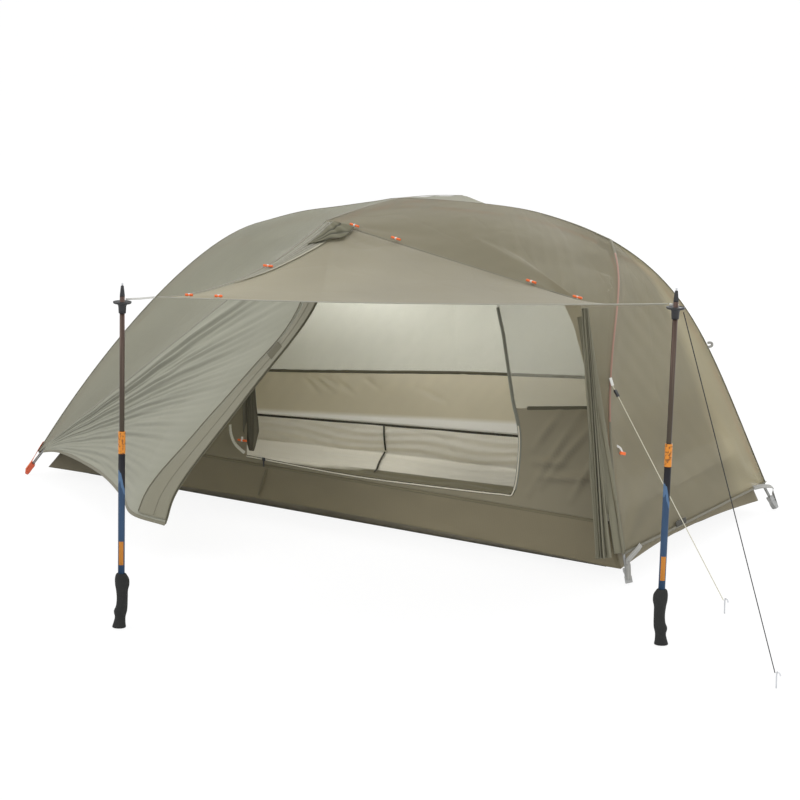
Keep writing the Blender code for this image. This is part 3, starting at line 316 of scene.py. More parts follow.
def dress(piece, finish, body="tent", replaced=None):
    """Gives a piece its material, the solid it stands for, and the body it moves with."""
    piece.data.materials.append(finish)
    if replaced:
        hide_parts(replaced)
    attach(piece, body)
    return piece


def blended(tree, factor, first, second):
    """A colour between two colours, by a socket."""
    return node(tree, "ShaderNodeMix", {"Factor": factor, 6: first, 7: second}, data_type="RGBA").outputs[2]


def limited(tree, value):
    """The value, held between 0 and 1."""
    return calculate(tree, "MINIMUM", calculate(tree, "MAXIMUM", value, 0.0), 1.0)


def parts_of(tree, vector):
    """The vector's X, Y and Z."""
    return node(tree, "ShaderNodeSeparateXYZ", {0: vector}).outputs


def own_uv(tree):
    return node(tree, "ShaderNodeUVMap", uv_map="UVMap").outputs["UV"]


def own_place(tree):
    return node(tree, "ShaderNodeTexCoord").outputs["Object"]


def noise(tree, vector, scale, detail=2.0):
    return node(tree, "ShaderNodeTexNoise", {"Vector": vector, "Scale": scale, "Detail": detail}).outputs[0]


def bumped(tree, shader, height, strength, distance):
    bump = node(tree, "ShaderNodeBump", {"Strength": strength, "Distance": distance, "Height": height})
    feed(tree, shader.inputs["Normal"], bump.outputs["Normal"])


STRAND_PITCH = 0.004


def braided_finish(name, dark, light, around):
    """Crossing strands of a braided cord, from its own UV map."""
    made, tree, shader = material(name, Roughness=0.8)
    split = parts_of(tree, own_uv(tree))
    round_it = calculate(tree, "MULTIPLY", split["X"], math.tau * 2 / around)
    along = calculate(tree, "MULTIPLY", split["Y"], math.tau / STRAND_PITCH)
    strands = [calculate(tree, "SINE", calculate(tree, way, along, round_it)) for way in ("ADD", "SUBTRACT")]
    height = calculate(tree, "MULTIPLY_ADD", calculate(tree, "MULTIPLY", *strands), 0.5, 0.5)
    feed(tree, shader.inputs["Base Color"], blended(tree, height, dark, light))
    bumped(tree, shader, height, 0.5, 0.0004)
    return made


around_cord = math.tau * GUYLINE_RADIUS
cream_braid = braided_finish("cream_braid", (0.5, 0.47, 0.36), (0.72, 0.69, 0.56), around_cord)
black_braid = braided_finish("black_braid", (0.008, 0.008, 0.009), (0.03, 0.03, 0.032), around_cord)


def guyline(name, route, finish, replaced):
    line = band(name, route, (0.3, 0.9, 0.2), 2 * GUYLINE_RADIUS, 2 * GUYLINE_RADIUS, sides=12, steps=90)
    return dress(line, finish, "tent", replaced)


cream_line = guyline("cream_line", HEAD_GUYLINE, cream_braid, "guyline_head")
black_line = guyline("black_line", POLE_GUYLINE, black_braid, "guyline_pole")
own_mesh(black_line)


# Bathtub floor. Coated ripstop nylon cut in one piece with its wall, drawn up to an edge seam by the
# corners and bound along the top, where the canopy is sewn on.

FLOOR_LENGTH = 2.24
HEAD_WIDTH = 0.97
FOOT_WIDTH = 0.71
SEAM_HEIGHT = 0.03
TUB_TOP_HEIGHTS = (0.15, 0.15, 0.18, 0.125)
TUB_REST_INSET = 0.1
TUB_LEANS = (0.03, 0.06, 0.1)
EDGE_BOW = 0.025
EDGE_RISE = 0.014
TUB_SEAM_AT = 0.45
CLOTH = 0.0008


def floor_ring(inset_side, inset_head, inset_foot, heights):
    """The floor's four corners, from the foot end's door side round to its rear side."""
    head_x = FLOOR_LENGTH / 2 - inset_head
    foot_x = inset_foot - FLOOR_LENGTH / 2
    head_y = HEAD_WIDTH / 2 - inset_side
    foot_y = FOOT_WIDTH / 2 - inset_side
    corners = ((foot_x, -foot_y), (head_x, -head_y), (head_x, head_y), (foot_x, foot_y))
    return np.array([(x, y, height) for (x, y), height in zip(corners, heights)])


TUB_TOP = floor_ring(*TUB_LEANS, TUB_TOP_HEIGHTS)


def round_ring(ring, shares, inset=0.0, rise=0.0):
    """Points round a ring of four corners, drawn in and up between them."""
    place = shares * 4
    side = np.minimum(place.astype(int), 3)
    part = (place - side)[:, None]
    start = ring[side]
    end = ring[(side + 1) % 4]
    ahead = unit(end - start)
    inwards = np.stack([-ahead[:, 1], ahead[:, 0], np.zeros(len(shares))], axis=-1)
    reach = np.sin(math.pi * part)
    return start * (1 - part) + end * part + inwards * inset * reach + np.array([0, 0, rise]) * reach


def soft_waves(points, length, seed=0.0):
    """A slow, uneven swell between -1 and 1, for cloth that isn't quite taut."""
    x, y, z = (points / length).T
    total = np.zeros(len(x))
    for turn in range(5):
        angle = 2.4 * turn + seed
        across_it = x * math.cos(angle) + y * math.sin(angle) + z * math.cos(1.7 * angle + 0.6)
        total += np.sin(math.tau * across_it * (1 + 0.37 * turn) + 1.9 * turn + seed) / (1 + 0.5 * turn)
    return total / 2.4


def edge_fade(across, down, reach=0.12):
    """0 on a sheet's edges and 1 further in, so that folds stop at the seams."""
    near = np.minimum(np.minimum(across, 1 - across), np.minimum(down, 1 - down))
    return np.clip(near / reach, 0, 1)


RIPSTOP_CELL = 0.006
WEAVE_PITCH = 0.0007


def grid(tree, split, cell, sharpness):
    """A square grid of threads: 1 along their middles, and less between them."""
    lines = []
    for axis in ("X", "Y"):
        wave = calculate(tree, "SINE", calculate(tree, "MULTIPLY", split[axis], math.pi / cell))
        lines.append(calculate(tree, "POWER", calculate(tree, "ABSOLUTE", wave), sharpness))
    return calculate(tree, "MAXIMUM", *lines)


def ripstop_on(tree, crease):
    """Ripstop cloth, from the piece's own UV map in metres: its thicker threads in a small square
    grid, its slow blotches, and the height of the threads, the fine weave and soft creases."""
    vector = own_uv(tree)
    split = parts_of(tree, vector)
    threads = grid(tree, split, RIPSTOP_CELL, 30.0)
    turns = [calculate(tree, "MULTIPLY", split[axis], math.tau / WEAVE_PITCH) for axis in ("X", "Y")]
    fine = calculate(tree, "MULTIPLY", *[calculate(tree, "SINE", turn) for turn in turns])
    warp = node(tree, "ShaderNodeTexNoise", {"Vector": vector, "Scale": 3.0}).outputs["Color"]
    bend = {0: warp, 1: (0.3, 0.3, 0.3), 2: vector}
    bent = node(tree, "ShaderNodeVectorMath", bend, operation="MULTIPLY_ADD").outputs[0]
    cracks = {"Vector": bent, "Scale": 3.4}
    edge = node(tree, "ShaderNodeTexVoronoi", cracks, feature="DISTANCE_TO_EDGE").outputs["Distance"]
    ridge = calculate(tree, "MULTIPLY", calculate(tree, "SMOOTH_MIN", edge, 0.06, 0.05), 6.0)
    soft = calculate(tree, "MULTIPLY_ADD", noise(tree, vector, 16.0), 0.35, ridge)
    height = calculate(tree, "MULTIPLY_ADD", threads, 0.05, calculate(tree, "MULTIPLY", soft, crease))
    height = calculate(tree, "MULTIPLY_ADD", fine, 0.012, height)
    return threads, noise(tree, vector, 2.6, 3.0), height


def with_painted_light(tree, colour):
    """The colour, made paler or darker by the painted light and shade in the mesh's painted_light attribute.
    """
    painted_light = node(tree, "ShaderNodeAttribute", attribute_name="painted_light").outputs["Fac"]
    scaled = node(tree, "ShaderNodeVectorMath", operation="SCALE")
    feed(tree, scaled.inputs[0], colour)
    feed(tree, scaled.inputs["Scale"], calculate(tree, "ADD", painted_light, 1.0))
    return scaled.outputs[0]


def shades(colour, *factors):
    return [tuple(min(1.0, channel * factor) for channel in colour) for factor in factors]


def shone_through(tree, shader, colour, share):
    """Lets a share of the light that falls on the cloth's other side shine through it."""
    through = node(tree, "ShaderNodeBsdfTranslucent", {"Color": colour})
    feed(tree, tree.nodes["Material Output"].inputs["Surface"], mixed(tree, share, shader, through))


def cloth_finish(name, colour, sheer=1.0, glow=0.3, crease=1.0, roughness=0.55, sheen=0.15):
    """Ripstop nylon: a matt face, threads a little darker than the cloth, and a share of the light
    that shines through it. Sheer is how much of it is solid."""
    made, tree, shader = material(
        name, Roughness=roughness, Sheen_Weight=sheen, Specular_IOR_Level=0.35, Alpha=sheer,
    )
    threads, cloud, height = ripstop_on(tree, crease)
    deep, pale, thread = shades(colour, 0.93, 1.07, 0.8)
    mottled = blended(tree, cloud, deep, pale)
    faint = calculate(tree, "MULTIPLY", threads, 0.3)
    # The cloth's colour with the painted light and shade of its mesh laid over it.
    dye_and_painted_light = with_painted_light(tree, blended(tree, faint, mottled, thread))
    feed(tree, shader.inputs["Base Color"], dye_and_painted_light)
    bumped(tree, shader, height, 0.5, 0.005)
    if glow:
        shone_through(tree, shader, dye_and_painted_light, glow)
    return made


def modified(piece, kind, **settings):
    """Shapes a piece by a modifier with these settings."""
    made = piece.modifiers.new("shaping", kind)
    for key, value in settings.items():
        setattr(made, key, value)
    bpy.context.view_layer.objects.active = piece
    bpy.ops.object.modifier_apply(modifier=made.name)


def sewn(piece, finish, lining=None):
    """Gives a sheet its thickness, inwards from its outer face, and its material."""
    piece.data.materials.append(finish)
    if lining:
        piece.data.materials.append(lining)
    modified(piece, "SOLIDIFY", thickness=CLOTH, offset=-1, material_offset=1 if lining else 0)
    piece.data.shade_smooth()


def sew(piece, finish, body="tent", replaced=None, lining=None):
    """Finishes and declares a sheet, with the solid it stands for and the body it moves with."""
    sewn(piece, finish, lining)
    if replaced:
        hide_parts(replaced)
    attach(piece, body)
    return piece


tub_outside = cloth_finish("tub_outside", (0.25, 0.215, 0.135), glow=0.15, crease=0.7)
tub_inside = cloth_finish("tub_inside", (0.74, 0.71, 0.61), glow=0.2, crease=1.4)


def tub_place(across, down):
    """The tub's side: from where the floor rests, up to the edge seam, then up the wall."""
    rest = round_ring(floor_ring(*[TUB_REST_INSET] * 3, (0,) * 4), across)
    edge = round_ring(floor_ring(0, 0, 0, (SEAM_HEIGHT,) * 4), across, EDGE_BOW, EDGE_RISE)
    top = round_ring(TUB_TOP, across)
    lower = np.clip(down / TUB_SEAM_AT, 0, 1)[:, None]
    upper = np.clip((down - TUB_SEAM_AT) / (1 - TUB_SEAM_AT), 0, 1)[:, None]
    return rest * (1 - lower) + edge * (lower - upper) + top * upper


def tub_lift(across, down, points):
    side = np.sin(math.pi * np.mod(across * 4, 1))
    wall = np.sin(math.pi * np.clip((down - TUB_SEAM_AT) / (1 - TUB_SEAM_AT), 0, 1))
    skirt = np.sin(math.pi * np.clip(down / TUB_SEAM_AT, 0, 1))
    ripple = soft_waves(points, 0.31, 0.4) + 0.4 * soft_waves(points, 0.11, 2.0)
    rear = np.exp(-(((across - 0.625) / 0.085) ** 4))
    rows = np.sin(math.tau * (6.3 * down + 0.8 * soft_waves(points, 0.8, 0.7)))
    drawn = rear * 0.0017 * rows * edge_fade(0.5, down, 0.12)
    return side * (0.003 * wall + 0.0018 * skirt) * ripple - 0.004 * wall * side + drawn


def tub_tone(across, down, points):
    """Daylight comes through the rear wall above the ground, and the foot corner stands in the
    fly's shade."""
    rear = np.exp(-(((across - 0.625) / 0.11) ** 6))
    rising = np.clip((down - 0.32) / 0.3, 0, 1)
    on_ground = (1 - rising) * np.clip((points[:, 0] + 0.15) / 0.3, 0, 1)
    in_shade = np.clip((-points[:, 0] - 0.75) / 0.2, 0, 1) * (points[:, 1] < 0)
    return rear * (0.22 * rising - 0.3 * on_ground) - 0.4 * in_shade


TUB_CUT = (5.9, 0.26)
tub = patch("tub_wall", 400, 40, tub_place, TUB_CUT, tub_lift, (0, 0, 0.2), rolled=True, painted_light=tub_tone)
sew(tub, tub_outside, "tent", "inner_floor", tub_inside)


def coons(top, bottom, left, right):
    """A surface stretched between four border paths, as a function of shares across and down."""
    corners = [np.asarray(path[end], float) for path in (top, bottom) for end in (0, -1)]

    def place(across, down):
        u = across[:, None]
        v = down[:, None]
        ruled = spaced(top, across) * (1 - v) + spaced(bottom, across) * v
        ruled += spaced(left, down) * (1 - u) + spaced(right, down) * u
        flat = (corners[0] * (1 - u) + corners[1] * u) * (1 - v)
        return ruled - flat - (corners[2] * (1 - u) + corners[3] * u) * v

    return place


rest = floor_ring(*[TUB_REST_INSET - 0.004] * 3, (0.001,) * 4)
base_place = coons(rest[[3, 2]], rest[[0, 1]], rest[[3, 0]], rest[[2, 1]])


def base_lift(across, down, points):
    """The floor lies flat, with low wrinkles along the rear wall, where it is drawn up."""
    near_rear = np.exp(-down / 0.35)
    rows = np.sin(math.tau * (down * 9 + 0.35 * soft_waves(points, 0.5))) * (1 + soft_waves(points, 0.4, 1.0))
    slack = np.maximum(0, 0.5 + 0.5 * soft_waves(points, 0.33, 2.2))
    return edge_fade(across, down, 0.06) * (0.0035 * near_rear * (1 + rows) + 0.003 * slack)


# Where the floor's painted shade ends: a slanting line across the floor, and how sharply it ends.
FLOOR_SHADE_EDGE = 0.41
FLOOR_SHADE_SLOPE = 0.3
FLOOR_SHADE_STEEP = 14.0


def floor_finish():
    """The floor cloth, with painted shade: dark where it lies on the ground, away from the light, and pale
    where it is drawn up to the rear wall and light comes through it."""
    made = tub_inside.copy()
    made.name = "floor_cloth"
    tree = made.node_tree
    split = parts_of(tree, own_place(tree))
    slanted = calculate(tree, "MULTIPLY_ADD", split["X"], -FLOOR_SHADE_SLOPE, split["Y"])
    ragged = calculate(tree, "MULTIPLY_ADD", noise(tree, own_place(tree), 5.0), 0.16, slanted)
    part = calculate(tree, "MULTIPLY_ADD", ragged, FLOOR_SHADE_STEEP, -FLOOR_SHADE_STEEP * FLOOR_SHADE_EDGE)
    base_colour = tree.nodes["Principled BSDF"].inputs["Base Color"]
    pale = base_colour.links[0].from_socket
    # Painted shade: dark olive on the door side of the line, and the cloth's own pale colour beyond it.
    feed(tree, base_colour, blended(tree, limited(tree, part), (0.14, 0.125, 0.075), pale))
    return made


BASE_CUT = (2.05, 0.68)
base = patch("tub_base", 200, 80, base_place, BASE_CUT, base_lift, (0, 0, -1))
sew(base, floor_finish())


# Pole frame. Anodised aluminium tubes on elastic cord, with moulded hubs where the legs meet the
# ridge pole and a clip where the short brow pole crosses it.

HUBS = {"head": np.array([0.821, 0, 0.9042]), "foot": np.array([-0.4949, 0, 0.867])}
BROW_X = 0.06
BROW_HALF = 0.404
BROW_END_HEIGHT = 0.955
BROW_ARCH = 0.984
RIDGE_STATIONS = (
    (-0.317, 0.917), (-0.16, 0.945), (-0.02, 0.97), (BROW_X, BROW_ARCH), (0.2, 0.988), (0.365, 0.986),
    (0.5, 0.979), (0.6, 0.965), (0.717, 0.938),
)
TIPS = {
    "head": (FLOOR_LENGTH / 2 + 0.045, HEAD_WIDTH / 2 + 0.035), "foot": (-FLOOR_LENGTH / 2 - 0.075, 0.385),
}
TIP_HEIGHT = 0.006
LEGS = (("head", -1, "front"), ("head", 1, "rear"), ("foot", -1, "front"), ("foot", 1, "rear"))
LEG_RISES = {
    ("head", -1): (-0.1796, -0.0353, 0.657), ("head", 1): (-0.221, -0.036, 0.4817),
    ("foot", -1): (-0.1809, -0.0313, 0.2948), ("foot", 1): (-0.1809, -0.0313, 0.2948),
}
LEG_STARTS = {"head": (0.1985, 0.2, -0.1603), "foot": (0.1916, 0.1734, -0.0718)}
LEG_INSIDE = {"head": np.array([0.75, 0, 0.35]), "foot": np.array([-0.6, 0, 0.25])}
POLE_RADIUS = 0.0045
POLE_DROP = 0.016
RIDGE_DROP = 0.027
POLE_END_HEIGHT = {"head": 0.0062, "foot": 0.0092}


def smooth_path(points, steps=8):
    """A Catmull-Rom curve through the points."""
    knots = np.asarray(points, float)
    knots = np.vstack([2 * knots[0] - knots[1], knots, 2 * knots[-1] - knots[-2]])
    path = []
    for before, start, end, after in zip(knots, knots[1:], knots[2:], knots[3:]):
        for t in np.arange(steps) / steps:
            path.append(0.5 * (
                2 * start + (end - before) * t + (2 * before - 5 * start + 4 * end - after) * t ** 2
                + (3 * start - before - 3 * end + after) * t ** 3
            ))
    return np.array([*path, knots[-2]])


def leg_line(end, side):
    """From the hub down to the tip, as the fly lies over the leg."""
    outwards = 1 if end == "head" else -1
    rise = LEG_RISES[end, side]
    start = LEG_STARTS[end]
    tip = np.array([TIPS[end][0], side * TIPS[end][1], TIP_HEIGHT])
    first = HUBS[end] + (outwards * start[0], side * start[1], start[2])
    second = tip + (outwards * rise[0], side * rise[1], rise[2])
    t = np.linspace(0, 1, 29)[:, None]
    near = (1 - t) ** 3 * HUBS[end] + 3 * (1 - t) ** 2 * t * first
    return near + 3 * (1 - t) * t ** 2 * second + t ** 3 * tip


def cut_at_height(path, height):
    """The start of a falling path, ending where it first reaches this height."""
    low = int(np.argmax(path[:, 2] <= height))
    a, b = path[low - 1], path[low]
    return np.vstack([path[:low], a + (b - a) * (a[2] - height) / (a[2] - b[2])])


def drawn_in(path, end, drop_at):
    """A leg's path moved in under the fly, square to itself."""
    ahead = path.copy()
    ahead[:-1] = path[1:]
    behind = path.copy()
    behind[1:] = path[:-1]
    inwards = square_to(unit(ahead - behind), LEG_INSIDE[end] - path)
    return path + inwards * drop_at(path[:, 2])[:, None]


def leg_pole_route(end, side):
    inside = drawn_in(leg_line(end, side), end, lambda z: POLE_DROP * np.minimum(1, z / 0.12))
    return cut_at_height(inside, POLE_END_HEIGHT[end])


ridge_line = smooth_path([HUBS["foot"], *[(x, 0, z) for x, z in RIDGE_STATIONS], HUBS["head"]])
PEAK = np.array([BROW_X, 0, BROW_ARCH])


def brow_half(side):
    """From the ridge out to the brow pole's end."""
    end = np.array([BROW_X, side * BROW_HALF, BROW_END_HEIGHT])
    return smooth_path([PEAK, (PEAK + end) / 2 + (0, 0, 0.004), end], 5)


def stretched(tree, vector, scale):
    return node(tree, "ShaderNodeMapping", {"Scale": scale, "Vector": vector}).outputs[0]


def anodised_finish(name, colour, dark, bare_end=None):
    """Anodised tube: fine lines drawn along it, and a little wear. It is bare below the height
    bare_end."""
    made, tree, shader = material(name, Metallic=0.85)
    drawn = noise(tree, stretched(tree, own_uv(tree), (9.0, 0.06, 1)), 180.0, 3.0)
    tinted = blended(tree, drawn, dark, colour)
    if bare_end:
        low = calculate(tree, "LESS_THAN", parts_of(tree, own_place(tree))["Z"], bare_end)
        tinted = blended(tree, low, tinted, (0.3, 0.3, 0.29))
    feed(tree, shader.inputs["Base Color"], tinted)
    feed(tree, shader.inputs["Roughness"], calculate(tree, "MULTIPLY_ADD", drawn, 0.25, 0.18))
    return made


red_anodised = anodised_finish("red_anodised", (0.78, 0.16, 0.06), (0.55, 0.09, 0.03), 0.12)
grey_alloy = anodised_finish("grey_alloy", (0.72, 0.73, 0.75), (0.52, 0.53, 0.55))


def moulded_finish(name, colour, roughness=0.45):
    """Injection-moulded plastic: a fine grain, and slightly paler where it is rubbed."""
    made, tree, shader = material(name)
    grain = noise(tree, own_place(tree), 260.0, 4.0)
    pale = tuple(min(1.0, channel * 1.25 + 0.01) for channel in colour)
    feed(tree, shader.inputs["Base Color"], blended(tree, grain, colour, pale))
    feed(tree, shader.inputs["Roughness"], calculate(tree, "MULTIPLY_ADD", grain, 0.25, roughness - 0.1))
    bumped(tree, shader, grain, 0.25, 0.0004)
    return made


black_moulded = moulded_finish("black_moulded", (0.02, 0.02, 0.021))


SLEEVE_LENGTH = 0.056
SLEEVE_WALL = 0.0006


def pole(name, route, replaced, ferrules):
    """A tube along the route, with a wider joining sleeve at each of these shares of its length."""
    up = (0.2, 0.3, 0.93)
    wide = 2 * POLE_RADIUS
    dress(band(name, route, up, wide, wide, 20, 0.001, 120), red_anodised, "tent", replaced)
    half = SLEEVE_LENGTH / 2 / length_of(route)
    wide += 2 * SLEEVE_WALL
    for number, share in enumerate(ferrules, 1):
        sleeve_path = spaced(route, np.linspace(share - half, share + half, 7))
        dress(band(f"{name}_sleeve_{number}", sleeve_path, up, wide, wide, 20, 0.0008, 12), grey_alloy)


SOCKET_STOP = 0.013
SOCKET_LENGTH = 0.042
SOCKET_PAST = 0.012
hub_places = {end: HUBS[end] - (0, 0, RIDGE_DROP) for end in HUBS}
low_ridge = ridge_line - (0, 0, RIDGE_DROP)
arms = {}
for end, near in (("head", 0.95), ("foot", 0.05)):
    arms[end, 0] = unit(spaced(low_ridge, near) - hub_places[end])
    for side in (-1, 1):
        arms[end, side] = unit(spaced(leg_pole_route(end, side), 0.2) - hub_places[end])


def in_socket(end, side):
    """Where the pole sits in the hub: from its stop to a little past the socket's mouth."""
    reaches = (SOCKET_STOP, SOCKET_LENGTH + SOCKET_PAST)
    return np.array([hub_places[end] + arms[end, side] * reach for reach in reaches])


def cells(tree, scale):
    """How far each point is from the middle of its cell, in object space."""
    made = node(tree, "ShaderNodeTexVoronoi", {"Scale": scale, "Vector": own_place(tree)})
    return made.outputs["Distance"]


def elastic_finish():
    """Covered elastic: a fine weave over the whole cord, in object space."""
    made, tree, shader = material("elastic", Roughness=0.85)
    weave = cells(tree, 900.0)
    feed(tree, shader.inputs["Base Color"], blended(tree, weave, (0.3, 0.3, 0.28), (0.7, 0.7, 0.66)))
    return made


for end, side, word in LEGS:
    route = np.vstack([in_socket(end, side), spaced(leg_pole_route(end, side), np.linspace(0.12, 1, 17))])
    pole(f"leg_tube_{end}_{word}", route, f"leg_pole_{end}_{word}", (0.48,))

ridge_route = np.vstack([
    in_socket("foot", 0), spaced(low_ridge, np.linspace(0.075, 0.925, 18)), in_socket("head", 0)[::-1],
])
pole("ridge_tube", ridge_route, "ridge_pole", (0.26, 0.5, 0.74))
halves = [spaced(brow_half(side), np.linspace(0, 0.955, 8)) - (0, 0, POLE_DROP) for side in (-1, 1)]
pole("brow_tube", np.vstack([halves[0][::-1], halves[1][1:]]), "brow_pole", (0.25, 0.75))
elastic = elastic_finish()
for place in ("head_front", "head_rear", "foot_front", "foot_rear", "ridge", "brow"):
    cad_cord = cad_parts[f"shock_cord_{place}"]
    cad_cord.data.materials.clear()
    cad_cord.data.materials.append(elastic)


def joined(name, pieces):
    """Several parts moulded as one: their meshes in one object, still without a material."""
    bpy.ops.object.select_all(action="DESELECT")
    for part in pieces:
        part.select_set(True)
    bpy.context.view_layer.objects.active = pieces[0]
    bpy.ops.object.join()
    whole = bpy.context.object
    whole.name = name
    whole.data.name = name
    return whole


# Each hub is one moulding: three sockets that meet in a knuckle, with a thicker lip at each mouth.
SOCKET_WIDTH = 0.015
LIP_WIDTH = 0.0175
KNUCKLE_RADIUS = SOCKET_WIDTH * 0.625
HUB_UP = (0.05, 0.1, 1.0)
for end in ("head", "foot"):
    centre = hub_places[end]
    ball_of = {"segments": 32, "ring_count": 16, "radius": KNUCKLE_RADIUS}
    parts = [added(bpy.ops.mesh.primitive_uv_sphere_add, "knuckle", **ball_of)]
    parts[0].data.transform(Matrix.Translation(Vector(centre)))
    for side in (0, -1, 1):
        direction = arms[end, side]
        mouth = centre + direction * SOCKET_LENGTH
        arm_path = [centre, (centre + mouth) / 2, mouth]
        parts.append(band("arm", arm_path, HUB_UP, SOCKET_WIDTH, SOCKET_WIDTH, 24, 0.001, 16))
        lip = mouth - direction * 0.006
        lip_path = [lip, (lip + mouth) / 2, mouth + direction * 0.0005]
        parts.append(band("lip", lip_path, HUB_UP, LIP_WIDTH, LIP_WIDTH, 24, 0.0012, 8))
    hub = joined(f"hub_moulding_{end}", parts)
    hub.data.shade_smooth()
    dress(hub, black_moulded, "tent", f"hub_{end}")


def rounded_block(name, size, centre, axes, edge, shape=None):
    """A moulded block: a cube cut into a grid in edit mode, shaped, and rounded along its edges."""
    block = added(bpy.ops.mesh.primitive_cube_add, name, size=1)
    if shape:
        bpy.ops.object.mode_set(mode="EDIT")
        bpy.ops.mesh.select_all(action="SELECT")
        bpy.ops.mesh.subdivide(number_cuts=9)
        bpy.ops.object.mode_set(mode="OBJECT")
        for vertex in block.data.vertices:
            vertex.co = shape(vertex.co)
    block.data.transform(Matrix.Diagonal((*size, 1)))
    modified(block, "BEVEL", width=edge, segments=3, limit_method="ANGLE", angle_limit=math.radians(40))
    turn = Matrix([[axes[column][row] for column in range(3)] for row in range(3)]).to_4x4()
    turn.translation = Vector(centre)
    block.data.transform(turn)
    bpy.ops.object.shade_smooth_by_angle(angle=math.radians(35))
    return block


swivel_low, swivel_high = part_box("brow_swivel")
swivel_size = tuple((swivel_high - swivel_low) * 0.98)
swivel = rounded_block("brow_clip", swivel_size, (swivel_low + swivel_high) / 2, Matrix.Identity(3), 0.003)
dress(swivel, black_moulded, "tent", "brow_swivel")


# Inner tent. Light uncoated ripstop and fine netting, sewn to the tub and hung under the poles. The
# door side has a D-shaped opening, zipped along the sill and up its head side.

INNER_DROP = 0.06
INNER_TOP_DROP = 0.05
INNER_BROW_INSET = 0.05
INNER_PINCH = 0.035
RIB_FOOT_CLEAR = 0.14
SEAM_GAP = 0.0025
TUB_CORNERS = {("foot", -1): 0, ("head", -1): 1, ("head", 1): 2, ("foot", 1): 3}
REAR_SEAM = (0.354, 0.0684)
FRONT_SEAM = (0.367, 0.1)
DOOR_OUTLINE = (
    (-0.277, 0.172), (0.137, 0.165), (0.437, 0.173), (0.69, 0.183), (0.733, 0.192), (0.743, 0.276),
    (0.736, 0.377), (0.704, 0.461), (0.65, 0.614), (0.604, 0.719), (0.53, 0.785), (0.25, 0.81),
    (0.0, 0.795), (-0.18, 0.71), (-0.28, 0.56), (-0.3, 0.38),
)
DOOR_SIDE_COUNT = 10


def inner_rib(end, side):
    """A line of the canopy under a leg, from its hub down to the tub's corner."""
    corner = TUB_TOP[TUB_CORNERS[end, side]]
    leg = drawn_in(leg_line(end, side), end, lambda z: np.full(len(z), INNER_DROP))
    above = spaced(leg, np.linspace(0, 1, 12))
    above[:, 1] = side * np.maximum(0, side * above[:, 1])
    above = above[above[:, 2] > corner[2] + RIB_FOOT_CLEAR]
    return smooth_path([*above, corner + (0, 0, SEAM_GAP)], 3)


def inner_mid_rib(side):
    top = PEAK - (0, 0, INNER_TOP_DROP + RIDGE_DROP)
    foot_x, head_x = TUB_TOP[0][0], TUB_TOP[1][0]
    part = (BROW_X - foot_x) / (head_x - foot_x)
    ends = (TUB_TOP[0], TUB_TOP[1]) if side < 0 else (TUB_TOP[3], TUB_TOP[2])
    foot = ends[0] * (1 - part) + ends[1] * part + (0, 0, SEAM_GAP)
    shoulder = np.array([BROW_X, side * (BROW_HALF - INNER_BROW_INSET), BROW_END_HEIGHT - INNER_BROW_INSET])
    near_top = top * 0.25 + shoulder * 0.75 + (0, 0, 0.012)
    return smooth_path([top, near_top, shoulder + (0, side * 0.012, -0.03), (foot + shoulder) / 2, foot], 6)


def side_by_side(left, right):
    """Two surfaces that meet halfway across."""
    def place(across, down):
        first = left(np.clip(across * 2, 0, 1), down)
        second = right(np.clip(across * 2 - 1, 0, 1), down)
        return np.where((across <= 0.5)[:, None], first, second)

    return place


def inner_side(side):
    foot_rib = inner_rib("foot", side)
    head_rib = inner_rib("head", side)
    mid_rib = inner_mid_rib(side)
    top = ridge_line - (0, 0, INNER_TOP_DROP + RIDGE_DROP)
    low, high = spaced(top, (0.2, 0.75))
    to_mid = smooth_path([foot_rib[0], low, mid_rib[0]])
    to_head = smooth_path([mid_rib[0], high, head_rib[0]])
    left = coons(to_mid, [foot_rib[-1], mid_rib[-1]], foot_rib, mid_rib)
    right = coons(to_head, [mid_rib[-1], head_rib[-1]], mid_rib, head_rib)

    def pinched(across, down):
        pinch = np.sin(math.pi * across) * np.sin(math.pi * down) ** 2 * INNER_PINCH
        return left(across, down) + pinch[:, None] * np.array([0, -side, -1])

    return side_by_side(pinched, right)


NETTING_CELL = 0.0016
REAR_GLOW = (0.2, 0.055)


def canopy_finish(name, cloth, net, seam, share, glow=None):
    """Ripstop below a sloping seam and netting above it, split by height in object space. Share is
    how much of the netting its threads fill. The cloth is paler below the line in glow, where the
    fly ends behind it and daylight reaches it."""
    made, tree, shader = material(name, Roughness=0.65, Specular_IOR_Level=0.3)
    split = parts_of(tree, own_place(tree))
    line = calculate(tree, "MULTIPLY_ADD", split["X"], seam[1], seam[0])
    above = calculate(tree, "GREATER_THAN", split["Z"], line)
    _, cloud, height = ripstop_on(tree, 0.8)
    thread = grid(tree, parts_of(tree, own_uv(tree)), NETTING_CELL, 2.0)
    mottled = blended(tree, cloud, *shades(cloth, 0.93, 1.06))
    if glow:
        pale_line = calculate(tree, "MULTIPLY_ADD", split["X"], glow[1], glow[0])
        below = calculate(tree, "MULTIPLY", calculate(tree, "SUBTRACT", pale_line, split["Z"]), 60.0)
        mottled = blended(tree, limited(tree, below), mottled, (0.98, 0.97, 0.93))
    # The canopy's colour with the painted light and shade of its mesh laid over it.
    dye_and_painted_light = with_painted_light(tree, blended(tree, above, mottled, net))
    feed(tree, shader.inputs["Base Color"], dye_and_painted_light)
    open_part = calculate(tree, "SUBTRACT", 1.0, calculate(tree, "MULTIPLY", thread, share))
    solid = calculate(tree, "SUBTRACT", 1.0, calculate(tree, "MULTIPLY", open_part, above))
    feed(tree, shader.inputs["Alpha"], solid)
    bumped(tree, shader, height, 0.3, 0.004)
    shone_through(tree, shader, dye_and_painted_light, calculate(tree, "MULTIPLY", solid, 0.35))
    return made


